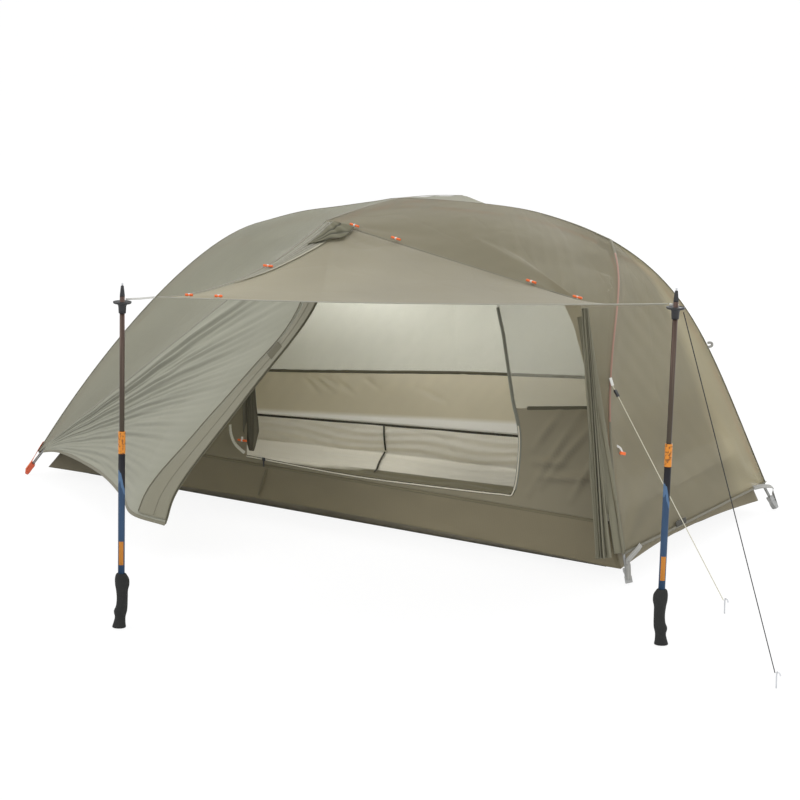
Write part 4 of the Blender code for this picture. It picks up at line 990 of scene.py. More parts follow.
rear_canopy = canopy_finish("rear_canopy", (0.75, 0.70, 0.555), (0.84, 0.84, 0.76), REAR_SEAM, 0.6, REAR_GLOW)
front_canopy = canopy_finish("front_canopy", (0.35, 0.315, 0.225), (0.6, 0.6, 0.53), FRONT_SEAM, 0.28)


def wall_lift(seed, depth=0.003):
    def lift(across, down, points):
        slow = soft_waves(points, 0.5, seed) + 0.35 * soft_waves(points, 0.13, seed + 1)
        return -depth * edge_fade(across, down, 0.15) * (1 + slow)

    return lift


# Creases as X and Z of both ends: slanting ones in the cloth beside the door, and a fan of short
# ones under the rear wall's seam.
WALL_CREASES = (
    ((0.865, 0.439), (0.79, 0.329)), ((0.933, 0.446), (0.785, 0.196)), ((0.99, 0.433), (0.824, 0.222)),
    ((1.02, 0.36), (0.931, 0.197)), ((0.79, 0.29), (0.9, 0.3)), ((0.82, 0.25), (1.02, 0.27)),
)
REAR_CREASES = (
    ((-0.526, 0.295), (-0.48, 0.24)), ((-0.492, 0.3), (-0.42, 0.248)), ((-0.45, 0.304), (-0.38, 0.268)),
    ((-0.4, 0.3), (-0.34, 0.25)), ((-0.295, 0.32), (-0.24, 0.28)), ((-0.1, 0.3), (0.02, 0.25)),
)


def creased_lift(creases, seed, height, wide):
    """The wall's own swell, with the creases raised along their lines."""
    def lift(across, down, points):
        raised = wall_lift(seed)(across, down, points)
        flat = points[:, [0, 2]]
        for start, end in creases:
            start, end = np.array(start), np.array(end)
            way = end - start
            part = np.clip(((flat - start) @ way) / (way @ way), 0, 1)
            gap = np.linalg.norm(flat - start - part[:, None] * way, axis=-1)
            raised += height * np.exp(-((gap / wide) ** 2)) * np.sin(math.pi * np.clip(part, 0.12, 0.88))
        return raised

    return lift


def inner_wall(name, place, size, lift, finish):
    wall = patch(name, int(size[0] / 0.009), int(size[1] / 0.009), place, size, lift, (0, 0, 0.4))
    sewn(wall, finish)
    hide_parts(name + "_wall")
    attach(wall, "tent")
    return wall


SIDE_CUT = (2.2, 1.05)
front_lift = creased_lift(WALL_CREASES, 0.3, 0.009, 0.009)
rear_lift = creased_lift(REAR_CREASES, 1.7, 0.004, 0.008)
front_wall = inner_wall("inner_front", inner_side(-1), SIDE_CUT, front_lift, front_canopy)
rear_wall = inner_wall("inner_rear", inner_side(1), SIDE_CUT, rear_lift, rear_canopy)


def between(left, right):
    def place(across, down):
        return spaced(left, down) * (1 - across)[:, None] + spaced(right, down) * across[:, None]

    return place


for end, cut in (("foot", (0.5, 1.0)), ("head", (0.6, 1.0))):
    place = between(*[spaced(inner_rib(end, side), np.linspace(0.09, 1, 30)) for side in (-1, 1)])
    end_wall = inner_wall(f"inner_{end}", place, cut, wall_lift(2.3), rear_canopy)

# The door opening is cut through the wall, as a cutter would with the pattern laid on the cloth.
STAMP_SPAN = (-0.62, -0.17)
outline = smooth_path([(x, 0, z) for x, z in (*DOOR_OUTLINE[1:], DOOR_OUTLINE[0])], 6)
cage = bmesh.new()
near, far = [[cage.verts.new((x, y, z)) for x, _, z in outline] for y in STAMP_SPAN]
cage.faces.new(near)
cage.faces.new(far)
for index, vertex in enumerate(near):
    cage.faces.new((vertex, near[index - 1], far[index - 1], far[index]))
bmesh.ops.recalc_face_normals(cage, faces=cage.faces)
stamp_mesh = bpy.data.meshes.new("door_stamp")
cage.to_mesh(stamp_mesh)
cage.free()
stamp = bpy.data.objects.new("door_stamp", stamp_mesh)
scene.collection.objects.link(stamp)
uncut = front_wall.copy()
uncut.data = front_wall.data.copy()
scene.collection.objects.link(uncut)
modified(front_wall, "BOOLEAN", operation="DIFFERENCE", object=stamp, solver="EXACT")
bpy.data.objects.remove(stamp)


def on_wall(wall, x, z, out, side):
    """The point of a side wall at this X and Z, moved out from it, or None past the wall's end."""
    hit, place, _, _ = wall.ray_cast(Vector((x, side * 1.0, z)), Vector((0, -side, 0)))
    if not hit or place.y * side < 0:
        return None
    return np.array(place) + np.array([0, side * out, 0])


bpy.context.view_layer.update()
olive_tape = cloth_finish("olive_tape", (0.085, 0.078, 0.048), glow=0.0, crease=0.3, roughness=0.75)
dark_tape = cloth_finish("dark_tape", (0.035, 0.032, 0.02), glow=0.0, crease=0.3, roughness=0.75)
tub_tape = cloth_finish("tub_tape", (0.17, 0.15, 0.09), glow=0.0, crease=0.3, roughness=0.75)


def tape(name, path, outs, width, finish, body="tent", thick=0.0016):
    steps = max(12, int(length_of(path) / 0.012))
    dress(band(name, path, outs, width, thick, cap=0.0008, steps=steps), finish, body)


for name, wall, seam, side, first, last in (
    ("rear_seam_tape", rear_wall, REAR_SEAM, 1, -0.86, 0.97),
    ("front_seam_tape_head", uncut, FRONT_SEAM, -1, 0.755, 0.985),
    ("front_seam_tape_foot", uncut, FRONT_SEAM, -1, -0.86, -0.31),
):
    path = [on_wall(wall, x, seam[0] + seam[1] * x, -CLOTH / 2, side) for x in np.linspace(first, last, 60)]
    path = [point for point in path if point is not None]
    tape(name, path, (0, side, 0.2), 0.012, olive_tape, thick=0.0034)

# The tub's top is bound with a dark tape that the canopy is sewn to.
for number in range(4):
    top_edge = round_ring(TUB_TOP, np.linspace(number / 4 + 0.0005, (number + 1) / 4 - 0.0005, 60))
    away = unit(top_edge.mean(0) * (1, 1, 0))
    binding = tub_tape if number == 0 else dark_tape
    tape(f"tub_binding_{number + 1}", top_edge, away, 0.01, binding, thick=0.003)

# Two straps on the tub: one down its front, and one that runs down the rear wall onto the floor.
FRONT_STRAP_X = -0.19
FRONT_STRAP_SPAN = (0.5, 0.95)
REAR_STRAP = ((-0.228, 0.145), (-0.227, 0.115), (-0.226, 0.085), (-0.226, 0.055))
REAR_STRAP_ON_FLOOR = ((-0.228, 0.35), (-0.222, 0.325), (-0.212, 0.3), (-0.201, 0.275), (-0.192, 0.25))
share = (FRONT_STRAP_X - TUB_TOP[0][0]) / (TUB_TOP[1][0] - TUB_TOP[0][0]) / 4
path = tub_place(np.full(14, share), np.linspace(*FRONT_STRAP_SPAN[::-1], 14)) - (0, 0.0035, 0)
tape("tub_strap_front", path, (0, -1, 0.4), 0.008, tub_tape, thick=0.002)
hits = [tub.ray_cast(Vector((x, 0.1, z)), Vector((0, 1, 0)))[1] for x, z in REAR_STRAP]
path = [tuple(place - Vector((0, 0.004, 0))) for place in hits]
tape("tub_strap_rear", path, (0, -1, 0.3), 0.0075, dark_tape, thick=0.002)
path = [tuple(hits[-1] + Vector((0, -0.008, -0.003)))]
for x, y in REAR_STRAP_ON_FLOOR:
    hits = [piece.ray_cast(Vector((x, y, 0.09)), Vector((0, 0, -1))) for piece in (tub, base)]
    path.append((x, y, max(place.z for hit, place, _, _ in hits if hit) + 0.004))
tape("tub_strap_floor", path, (0, -0.1, 1), 0.0075, dark_tape, thick=0.002)


# Door. The zip runs along the sill and up the head side. Its cloth is gathered at the foot side and
# held back there by a toggle.

zip_line = smooth_path([(x, 0, z) for x, z in DOOR_OUTLINE[:DOOR_SIDE_COUNT]], 5)
zip_shares = np.linspace(0, 1, 160)
flat_zip = spaced(zip_line, zip_shares)
zip_route = np.array([on_wall(uncut, x, z, 0.003, -1) for x, _, z in flat_zip])
bpy.data.objects.remove(uncut)


seam_pale = cloth_finish("seam_pale", (0.27, 0.26, 0.205), glow=0.05, crease=0.3, roughness=0.7)
ZIP_COLOUR_CHANGE = 0.39
ZIP_CORNER = 0.66
ZIP_PITCH = 0.0016


def zip_coil_finish():
    """A nylon coil: fine turns across it, from its own UV map. It is cream up to the wall's seam
    and olive above."""
    made, tree, shader = material("zip_coil", Roughness=0.45)
    along = calculate(tree, "MULTIPLY", parts_of(tree, own_uv(tree))["Y"], math.tau / ZIP_PITCH)
    height = calculate(tree, "MULTIPLY_ADD", calculate(tree, "SINE", along), 0.5, 0.5)
    upper = calculate(tree, "GREATER_THAN", parts_of(tree, own_place(tree))["Z"], ZIP_COLOUR_CHANGE)
    cream = blended(tree, height, (0.55, 0.5, 0.38), (0.84, 0.8, 0.68))
    feed(tree, shader.inputs["Base Color"], blended(tree, upper, cream, (0.22, 0.22, 0.175)))
    bumped(tree, shader, height, 0.6, 0.0006)
    return made


coil = band("door_zip_coil", zip_route, (0, -1, 0), 0.0042, 0.003, sides=10, steps=260)
dress(coil, zip_coil_finish(), "tent", "door_zip")
zip_corner = int(ZIP_CORNER * len(zip_route))
zip_grey = cloth_finish("zip_grey", (0.25, 0.25, 0.205), glow=0.0, crease=0.3, roughness=0.75)
for name, part, width, finish in (
    ("sill", slice(0, zip_corner), 0.008, olive_tape), ("side", slice(zip_corner - 1, None), 0.012, zip_grey),
):
    tape(f"door_zip_tape_{name}", zip_route[part] + (0, 0.0024, 0), (0, -1, 0), width, finish, thick=0.0012)

slider_low, slider_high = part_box("door_zip_slider")
slider_centre = (slider_low + slider_high) / 2
along_sill = Vector(zip_route[40] - zip_route[10]).normalized()
sill_side = Vector((0, 0, 1)).cross(along_sill).normalized()
sill_turn = (along_sill, sill_side, along_sill.cross(sill_side))
for name, size, rise, edge, replaced in (
    ("zip_slider_body", (0.0115, 0.004, 0.011), 0.008, 0.0012, None),
    ("zip_pull", (0.0055, 0.0026, 0.021), -0.0055, 0.001, "door_zip_slider"),
):
    block = rounded_block(name, size, slider_centre + Vector((0, 0, rise)), sill_turn, edge)
    dress(block, black_moulded, "zip_slider", replaced)
orange_moulded = moulded_finish("orange_moulded", (0.78, 0.135, 0.02), 0.42)


def pleated(name, top, foot, width, depth, pleats, swell, out=(0, -1, 0), seed=0.0):
    """A sheet gathered into upright pleats that run from top to foot, uneven and pressed together.
    Swell gives its share of the full width and depth at each share of the way down."""
    top, foot = np.asarray(top, float), np.asarray(foot, float)
    down_axis = unit(foot - top)
    across_axis = unit(np.cross(out, down_axis))
    out_axis = np.cross(down_axis, across_axis)

    def place(across, down):
        turn = across * pleats + 0.35 * np.sin(math.tau * (0.6 * down + 0.21 * pleats * across) + seed)
        height = 0.62 + 0.38 * np.sin(2.39 * np.floor(across * pleats + 0.25) + 3.1 * down + seed)
        fold = np.sin(math.tau * turn) * height + 0.18 * np.sin(math.tau * 2.7 * turn + 4 * down + seed)
        lean = 0.32 / pleats * np.sin(math.tau * 2 * turn + 0.8)
        size = swell(down)[:, None]
        over = ((across - 0.5) * 2 + lean)[:, None] * across_axis * width
        rounded = np.sqrt(np.clip(1 - (2 * across - 1) ** 2 * 0.75, 0.2, 1))
        out_by = (fold * rounded * depth)[:, None] * out_axis
        return top + (foot - top) * down[:, None] + (over + out_by) * size

    tall = length_of([top, foot])
    section = place(np.linspace(0, 1, 400), np.full(400, 0.5))
    return patch(name, int(pleats * 26), int(tall / 0.005), place, (length_of(section), tall))


door_low, door_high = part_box("inner_door")
door_cloth = cloth_finish("door_cloth", (0.13, 0.12, 0.08), glow=0.1, crease=0.6)
door_middle = (door_low + door_high) / 2
door_roll = pleated(
    "gathered_door", (door_middle.x - 0.002, door_middle.y + 0.002, door_high.z - 0.003),
    (door_middle.x + 0.008, door_middle.y - 0.002, door_low.z + 0.003), 0.034, 0.0115, 5,
    lambda share: (0.5 + 0.5 * share ** 1.5) * (1 - 0.75 * np.clip((share - 0.84) / 0.16, 0, 1)),
)
sew(door_roll, door_cloth, "tent", "inner_door")
# Its pale binding curls round the bundle's foot.
door_binding = cloth_finish("door_binding", (0.62, 0.6, 0.5), glow=0.0, crease=0.3, roughness=0.7)
DOOR_CURL = (
    (-0.330, -0.385, 0.272), (-0.322, -0.392, 0.245), (-0.306, -0.396, 0.217), (-0.284, -0.396, 0.199),
    (-0.268, -0.393, 0.188),
)
tape("door_curl", smooth_path(DOOR_CURL, 5), (0, -1, 0.3), 0.010, door_binding, thick=0.002)


# Fly. Silicone-coated ripstop, cut in panels that are joined by felled seams over the poles, with
# the hem bound and drawn down to the four corners.

FLY_HEM = 0.085
FLY_REAR_HEM_OUT = 0.085
REAR_ROWS = (4, 13)
REAR_CUT = (2.2, 1.35)
FRONT_LEFT_CUT = (1.1, 0.75)
FRONT_RIGHT_CUT = (1.35, 0.55)
EAVE_LEFT = np.array([BROW_X, -BROW_HALF, BROW_END_HEIGHT])
EAVE_RIGHT = np.array([0.958, -0.45, 0.787])
fly_ribs = {(end, side): cut_at_height(leg_line(end, side), FLY_HEM) for end, side, _ in LEGS}

fly_olive = cloth_finish("fly_olive", (0.35, 0.315, 0.215), sheer=0.5, glow=0.32, crease=1.0)
fly_pale = cloth_finish("fly_pale", (0.46, 0.45, 0.36), sheer=0.6, glow=0.35, crease=1.0)


def ridge_between(start_x, end_x):
    inner = [p for p in ridge_line if start_x + 0.01 < p[0] < end_x - 0.01]
    first = ridge_line[np.argmin(np.abs(ridge_line[:, 0] - start_x))]
    last = ridge_line[np.argmin(np.abs(ridge_line[:, 0] - end_x))]
    return np.array([first, *inner, last])


def tug(across, down, size, corner, count, height, reach, phase=0.0):
    """Folds that fan out from where a sheet is pulled, in metres of lift."""
    du = (across - corner[0]) * size[0]
    dv = (down - corner[1]) * size[1]
    away = np.hypot(du, dv)
    angle = np.arctan2(np.abs(dv), np.abs(du))
    wave = np.sin(count * angle + phase + 1.3 * np.sin(2.7 * angle + phase))
    return height * wave * np.exp(-away / reach) * np.minimum(1, away / 0.07)


def panel(name, place, size, finish, lift, body="tent", inside=(0, 0, 0.35), cell=0.012, painted_light=None):
    """A stretched panel of the fly, which stands for the solid of its name."""
    cloth = patch(name, int(size[0] / cell), int(size[1] / cell), place, size, lift, inside, painted_light=painted_light)
    replaced = name.replace("_cloth", "") + "_panel"
    return sew(cloth, finish, body, replaced)


def pulled_lift(size, fade, swells, pulls, sunk=0.0):
    """Slow swells, and folds that fan out from each place where the sheet is pulled."""
    def lift(across, down, points):
        slow = sum(height * soft_waves(points, length, seed) for height, length, seed in swells)
        fans = sum(tug(across, down, size, *pull) for pull in pulls)
        return edge_fade(across, down, fade) * (slow + fans - sunk)

    return lift


def head_tone(across, down, points):
    """Daylight shows along the rear leg, where the canopy doesn't stand behind the fly."""
    return 0.5 * np.clip((across - 0.74) / 0.1, 0, 1) + 0.1 * (1 - down) + 0.2 * across * down ** 4


to_peak = ridge_between(HUBS["foot"][0], BROW_X)
from_peak = ridge_between(BROW_X, HUBS["head"][0])
END_SWELLS = ((0.004, 0.55, 1.1), (0.0012, 0.16, 0.2))
END_PULLS = (((0, 1), 9, 0.005, 0.28, 0), ((1, 1), 9, 0.005, 0.28, 1))
for end, cut, finish, painted_light in (
    ("foot", (0.7, 1.25), fly_pale, None), ("head", (0.95, 1.25), fly_olive, head_tone),
):
    pair = [spaced(fly_ribs[end, side], np.linspace(0.012, 1, 60)) for side in (-1, 1)]
    end_lift = pulled_lift(cut, 0.1, END_SWELLS, END_PULLS, 0.004)
    panel(f"fly_{end}", between(*pair), cut, finish, end_lift, painted_light=painted_light)

rear_hem = np.array([BROW_X, (HEAD_WIDTH + FOOT_WIDTH) / 4 + FLY_REAR_HEM_OUT, FLY_HEM])
brow_rear = brow_half(1)
rear_down = smooth_path([
    (BROW_X, BROW_HALF, BROW_END_HEIGHT), (BROW_X, BROW_HALF + 0.035, BROW_END_HEIGHT * 0.55), rear_hem,
])
rear_rib = np.vstack([brow_rear, spaced(rear_down, np.linspace(0, 1, 12))[1:]])
rear_halves = side_by_side(
    coons(to_peak, [fly_ribs["foot", 1][-1], rear_hem], fly_ribs["foot", 1], rear_rib),
    coons(from_peak, [rear_hem, fly_ribs["head", 1][-1]], rear_rib, fly_ribs["head", 1]),
)
brow_share = length_of(brow_rear) / length_of(rear_rib)


def rear_place(across, down):
    row = REAR_ROWS[0] / REAR_ROWS[1]
    below = brow_share + (down - row) * (1 - brow_share) / (1 - row)
    return rear_halves(across, np.where(down < row, down * brow_share / row, below))


REAR_SWELLS = ((0.005, 0.6, 0.9), (0.0012, 0.15, 1.2))
REAR_PULLS = (((0, 1), 9, 0.006, 0.3), ((1, 1), 9, 0.006, 0.3), ((0.5, 0.3), 7, 0.004, 0.2))
fly_rear_lift = pulled_lift(REAR_CUT, 0.08, REAR_SWELLS, REAR_PULLS)
panel("fly_rear", rear_place, REAR_CUT, fly_pale, fly_rear_lift)

hinge_foot = fly_ribs["foot", -1][-1]
brow_front = brow_half(-1)
LEFT_SWELLS = ((0.003, 0.45, 0.4), (0.0008, 0.12, 1.7))
front_left_lift = pulled_lift(FRONT_LEFT_CUT, 0.12, LEFT_SWELLS, [((1, 1), 8, 0.004, 0.2)])
front_left_place = coons(to_peak, [hinge_foot, EAVE_LEFT], fly_ribs["foot", -1], brow_front)
panel("fly_front_left", front_left_place, FRONT_LEFT_CUT, fly_pale, front_left_lift)

eave = spaced([EAVE_LEFT, EAVE_RIGHT], np.linspace(0, 1, 8))
zip_side = np.vstack([eave, spaced([EAVE_RIGHT, fly_ribs["head", -1][-1]], np.linspace(0, 1, 8))[1:]])
RIGHT_SWELLS = ((0.003, 0.5, 2.1), (0.0008, 0.13, 0.7))
RIGHT_PULLS = (((0, 1), 9, 0.005, 0.22), ((1, 1), 8, 0.005, 0.3))
front_right_lift = pulled_lift(FRONT_RIGHT_CUT, 0.12, RIGHT_SWELLS, RIGHT_PULLS)
front_right_flat = coons(from_peak, zip_side, brow_front, fly_ribs["head", -1])


def front_right_place(across, down):
    """Stretched between its borders, and evened out inside, where the cloth has no corner."""
    inside = np.sqrt(np.sin(math.pi * np.clip(down, 0, 1))) * np.clip((1 - down) * 2.8, 0, 1)
    reach = np.minimum(0.22, np.minimum(across, 1 - across)) * inside
    steps = (-1.0, -0.6, -0.3, 0.0, 0.3, 0.6, 1.0)
    return sum(front_right_flat(across + step * reach, down) for step in steps) / len(steps)


panel("fly_front_right", front_right_place, FRONT_RIGHT_CUT, fly_olive, front_right_lift)


def outwards(path):
    """Directions out from the tent's middle line, for what is sewn onto the fly."""
    path = np.asarray(path, float)
    middle = [(min(max(x, -0.6), 0.75), 0, 0.35) for x, _, _ in path]
    return unit(path - middle)


seam_olive = cloth_finish("seam_olive", (0.20, 0.185, 0.13), glow=0.05, crease=0.3, roughness=0.7)
flap_olive = cloth_finish("flap_olive", (0.23, 0.215, 0.148), glow=0.1, crease=0.8)
edge_binding = cloth_finish("edge_binding", (0.115, 0.105, 0.065), glow=0.0, crease=0.3, roughness=0.75)


def felled_seam(name, path, finish, width, thick=0.0018):
    tape(name, path, outwards(path), width, finish, thick=thick)


felled_seam("ridge_seam_foot", to_peak, seam_pale, 0.007)
felled_seam("ridge_seam_head", from_peak, seam_olive, 0.007)
felled_seam("brow_seam_front", brow_front, seam_olive, 0.010)
felled_seam("brow_seam_rear", brow_rear, seam_pale, 0.008)
for end, side, word in LEGS:
    finish = seam_olive if end == "head" else seam_pale
    felled_seam(f"leg_seam_{end}_{word}", fly_ribs[end, side], finish, 0.008)
felled_seam("eave_seam", eave, seam_olive, 0.006)
felled_seam("hinge_seam", [hinge_foot, EAVE_LEFT], seam_pale, 0.008)
# Painted see-through: a pinkish strip laid on the fly along the head end's front leg, for the red pole that
# shows through the cloth.
pole_through = cloth_finish("pole_through", (0.37, 0.22, 0.165), glow=0.1, crease=0.2, roughness=0.7)
rib = fly_ribs["head", -1]
felled_seam("pole_glow", rib[(rib[:, 2] > 0.42) & (rib[:, 2] < 0.875)], pole_through, 0.0065, 0.0024)
zip_top = EAVE_RIGHT * 0.94 + rib[-1] * 0.06
felled_seam("fly_zip_right", [zip_top, rib[-1] - (0.012, 0, 0)], flap_olive, 0.034)

fly_corners = {leg: rib[-1] for leg, rib in fly_ribs.items()}
for name, start, end, width in (
    ("hem_foot", fly_corners["foot", -1], fly_corners["foot", 1], 0.011),
    ("hem_rear_foot", fly_corners["foot", 1], rear_hem, 0.011),
    ("hem_rear_head", rear_hem, fly_corners["head", 1], 0.011),
    ("hem_head", fly_corners["head", 1], fly_corners["head", -1], 0.018),
):
    felled_seam(name, [start, end], seam_olive, width, 0.0024)


# Storm flap. The head side of the vestibule's door is rolled into its own flap, which hangs in
# pleats down the zip from the eave to the front corner.

flap_cloth = cloth_finish("flap_cloth", (0.25, 0.235, 0.165), glow=0.2, crease=0.8)
flap = pleated(
    "pleated_flap", (0.986, -0.474, 0.772), (1.097, -0.546, 0.072), 0.0225, 0.0105, 4,
    lambda share: 0.42 + 0.4 * np.minimum(1, share * 1.7) + 0.18 * share ** 3, (0.55, -0.83, 0), 1.3,
)
sew(flap, flap_cloth, "tent", "zip_flap_right")


# Awning. The vestibule's other door half, held out level by its two corners. It hangs on the eave's
# seam and moves with it.

AWNING_LEFT = np.array([0.288, -1.535, 0.885])
AWNING_RIGHT = np.array([1.485, -0.975, 0.893])
AWNING_EDGE_SAG = 0.055
AWNING_HEM_SAG = 0.008


def sagged(start, end, sag, count=33):
    """A line between two points that hangs down by sag at its middle."""
    part = np.linspace(0, 1, count)[:, None]
    return start * (1 - part) + end * part - np.array([0, 0, 4 * sag]) * part * (1 - part)


awning_edges = (
    np.array([EAVE_LEFT, EAVE_RIGHT]), sagged(AWNING_LEFT, AWNING_RIGHT, AWNING_HEM_SAG),
    sagged(EAVE_LEFT, AWNING_LEFT, AWNING_EDGE_SAG), sagged(EAVE_RIGHT, AWNING_RIGHT, AWNING_HEM_SAG),
)
awning_flat = coons(*awning_edges)


def awning_place(across, down):
    """Just clear of the eave's seam, so that it can swing down from there."""
    return awning_flat(0.01 + 0.99 * across, 0.007 + 0.993 * down)


AWNING_CUT = (1.1, 0.95)
AWNING_PULLS = (((0, 0), 14, 0.004, 0.16), ((0, 1), 8, 0.006, 0.35), ((1, 1), 7, 0.004, 0.3))


def awning_lift(across, down, points):
    ripple = 0.005 * np.sin(math.tau * 4 * across) * np.sin(math.pi * down) * (1 - 0.7 * across)
    pulls = sum(tug(across, down, AWNING_CUT, *pull) for pull in AWNING_PULLS)
    return edge_fade(across, down, 0.06) * (ripple + pulls + 0.002 * soft_waves(points, 0.4, 0.8))


def awning_painted_light(across, down, points):
    """Painted light: paler towards its foot corner, where it stands clear of the fly and more light falls on
    it, and painted a little darker towards the head end of its hem.
    """
    return 0.24 * np.exp(-((across / 0.3) ** 2)) * down ** 0.5 - 0.13 * across * down


awning_olive = cloth_finish("awning_olive", (0.37, 0.335, 0.235), sheer=0.7, glow=0.35, crease=1.0)
awning = panel(
    "awning_cloth", awning_place, AWNING_CUT, awning_olive, awning_lift,
    "awning", (0.7, -0.8, 0), painted_light=awning_painted_light,
)
for name, path, width, finish in (
    ("awning_hem", awning_edges[1], 0.010, seam_pale),
    ("awning_left_edge", awning_edges[2][1:], 0.008, seam_olive),
    ("awning_right_edge", awning_edges[3][1:], 0.008, seam_pale),
):
    tape(name, path, (0.0, -0.1, 1.0), width, finish, "awning", 0.002)


def over_awning(across, down, rise):
    spot = awning_place(across, down)
    return spot + np.array([0, -0.12, 0.99]) * (awning_lift(across, down, spot) + rise)[:, None]


def awning_flap_place(across, down):
    """A storm flap folded back over the awning's foot side, wide at the eave and gone at its end."""
    wide = 0.07 * (1 - down ** 1.3) + 0.002
    return over_awning(0.002 + wide * across, 0.012 + 0.6 * down, 0.004)


def awning_flap_lift(across, down, points):
    fold = np.sin(math.tau * (2.5 * across + 0.8 * down)) * np.sin(math.pi * across) * (1 - down)
    crumple = np.sin(math.tau * (11 * down + 1.6 * across)) * np.sin(math.pi * across) * np.exp(-down / 0.35)
    return 0.006 * np.abs(fold) + 0.0022 * np.abs(crumple)


def awning_flap_pale_edge_and_shade(across, down, points):
    """Its free edge is turned under and pale, and painted shade darkens it most under the eave."""
    return 0.45 * (across > 0.9) - 0.22 * np.exp(-down / 0.3) * (across < 0.9)


dark_flap = cloth_finish("dark_flap", (0.27, 0.255, 0.18), glow=0.15, crease=1.0)
awning_flap = patch(
    "awning_flap", 30, 90, awning_flap_place, (0.08, 0.65), awning_flap_lift, (0.2, -0.6, 0),
    painted_light=awning_flap_pale_edge_and_shade,
)
sew(awning_flap, dark_flap, "awning")


def bunched_place(across, down):
    """The flap's slack, bunched under the eave at the awning's corner: deep beside the flap, and
    shallower away from it."""
    return over_awning(0.028 + 0.085 * across, 0.006 + (0.19 - 0.12 * across) * down, 0.0105)


def bunched_turn(across, down):
    """How far round the bunch's lowest corner a point is, counted in folds."""
    return 5.5 * np.arctan2(1.02 - down, across + 0.04) + 0.5 * np.sin(9 * across)


def bunched_lift(across, down, points):
    """Leaf-shaped folds that fan out from the lowest corner."""
    leaves = np.abs(np.sin(bunched_turn(across, down)))
    return 0.004 * leaves * np.sin(math.pi * np.clip(across, 0, 1)) ** 0.4 * (1 - down) ** 0.25


# Painted shade: deepest in the hollows between the folds, and a little over the whole bunch.
def bunched_painted_shade(across, down, points):
    return -0.45 * np.cos(bunched_turn(across, down)) ** 6 - 0.1


bunch_cloth = cloth_finish("bunch_cloth", (0.17, 0.16, 0.1), glow=0.1, crease=1.0, roughness=0.8, sheen=0.0)
bunched = patch(
    "awning_bunch", 60, 60, bunched_place, (0.11, 0.14), bunched_lift, (0.2, -0.6, 0), painted_light=bunched_painted_shade,
)
sew(bunched, bunch_cloth, "awning")

# The other end of the flap is rolled up tight under the eave, beside the head-side zip.
roll_parts = np.array([0.895, 0.93, 0.965, 0.992])
roll_path = spaced([EAVE_LEFT, EAVE_RIGHT], roll_parts) + (0, 0.006, 0.002)
roll_path[:, 1] -= 0.02 * roll_parts
tape("rolled_flap", roll_path, (0, -0.3, 1), 0.014, edge_binding, "awning", 0.007)


# Vestibule. The foot half of the vestibule stays closed: it fans out from the foot corner, and its
# free edge carries half of the zip and a doubled flap.

PANEL_HEM = (
    (-0.976, -0.45, 0.117), (-0.642, -0.66, 0.131), (-0.408, -0.84, 0.123), (-0.282, -0.95, 0.106),
    (-0.107, -1.015, 0.11),
)
PANEL_EDGE = ((0.159, -0.6, 0.743), (0.0145, -0.75, 0.471), (-0.1, -0.94, 0.22))
PANEL_START = 0.03
panel_hem = smooth_path([hinge_foot, *PANEL_HEM])
panel_edge = smooth_path([EAVE_LEFT, *PANEL_EDGE, PANEL_HEM[-1]])
panel_top = spaced([hinge_foot, EAVE_LEFT], np.linspace(PANEL_START, 1, 24))
panel_foot = spaced(panel_hem, np.linspace(PANEL_START, 1, 60))
panel_flat = coons(panel_top, panel_foot, [panel_top[0], panel_foot[0]], panel_edge)


def panel_place(across, down):
    return panel_flat(across, 0.004 + 0.996 * down)


def panel_lift(across, down, points):
    """Long folds that run from the foot corner, where the pole's tip pulls, up to the eave."""
    def folds(height, count, bend, where, middle, wide):
        return height * np.sin(math.tau * (count * down + bend)) * np.exp(-((where - middle) / wide) ** 2)

    reach = np.sin(math.pi * np.minimum(1, across * 1.04)) ** 0.8
    long_folds = 0.006 * np.sin(math.tau * 5 * down) * np.sin(math.pi * down) ** 0.5
    long_folds += folds(0.003, 17, 0.5 * np.sin(4 * across), across, 0.45, 0.4)
    long_folds *= 1 - 0.6 * down
    long_folds += folds(0.0028, 24, 0.8 * np.sin(3 * across), down, 0.13, 0.14)
    long_folds += folds(0.0018, 31, 1.1 * np.sin(5 * across + 1), across, 0.7, 0.25)
    slow = 0.003 * soft_waves(points, 0.35, 1.4)
    return edge_fade(across, down, 0.05) * (reach * long_folds + slow)


vestibule_olive = cloth_finish("vestibule_olive", (0.455, 0.45, 0.36), sheer=0.82, glow=0.3, crease=1.4)
VESTIBULE_CUT = (1.2, 1.0)
vestibule = panel(
    "vestibule_cloth", panel_place, VESTIBULE_CUT, vestibule_olive, panel_lift,
    "vestibule_side", cell=0.009,
)

# A doubled flap covers the zip along the free edge, with a square tab of tape across it.
EDGE_FLAP_SHARE = (0.034, 0.125)
EDGE_TAB = (0.40, 0.445)
EDGE_START = 0.11
FLAP_START = 0.15
panel_out = unit(np.array([-0.25, -0.75, 0.6]))


def panel_tape(name, path, width, finish, thick):
    tape("vestibule_" + name, path, panel_out, width, finish, "vestibule_side", thick)


panel_tape("hem", spaced(panel_hem, np.linspace(PANEL_START, 1, 80)), 0.011, seam_olive, 0.002)
panel_tape("edge", spaced(panel_edge, np.linspace(EDGE_START, 1, 80)), 0.008, edge_binding, 0.0026)


def edge_flap_wide(down):
    return EDGE_FLAP_SHARE[0] * (1 - down) + EDGE_FLAP_SHARE[1] * down


def over_panel(across, down, rise):
    """A place on the vestibule's cloth, raised from it by rise."""
    base_point = panel_place(across, down)
    ahead = panel_place(across - 0.01, down) - base_point
    below = panel_place(across, np.clip(down + 0.01, 0, 1.01)) - base_point
    normal = unit(np.cross(ahead, below))
    normal *= np.sign((normal @ panel_out))[:, None]
    return base_point + normal * (panel_lift(across, down, base_point) + rise)[:, None]


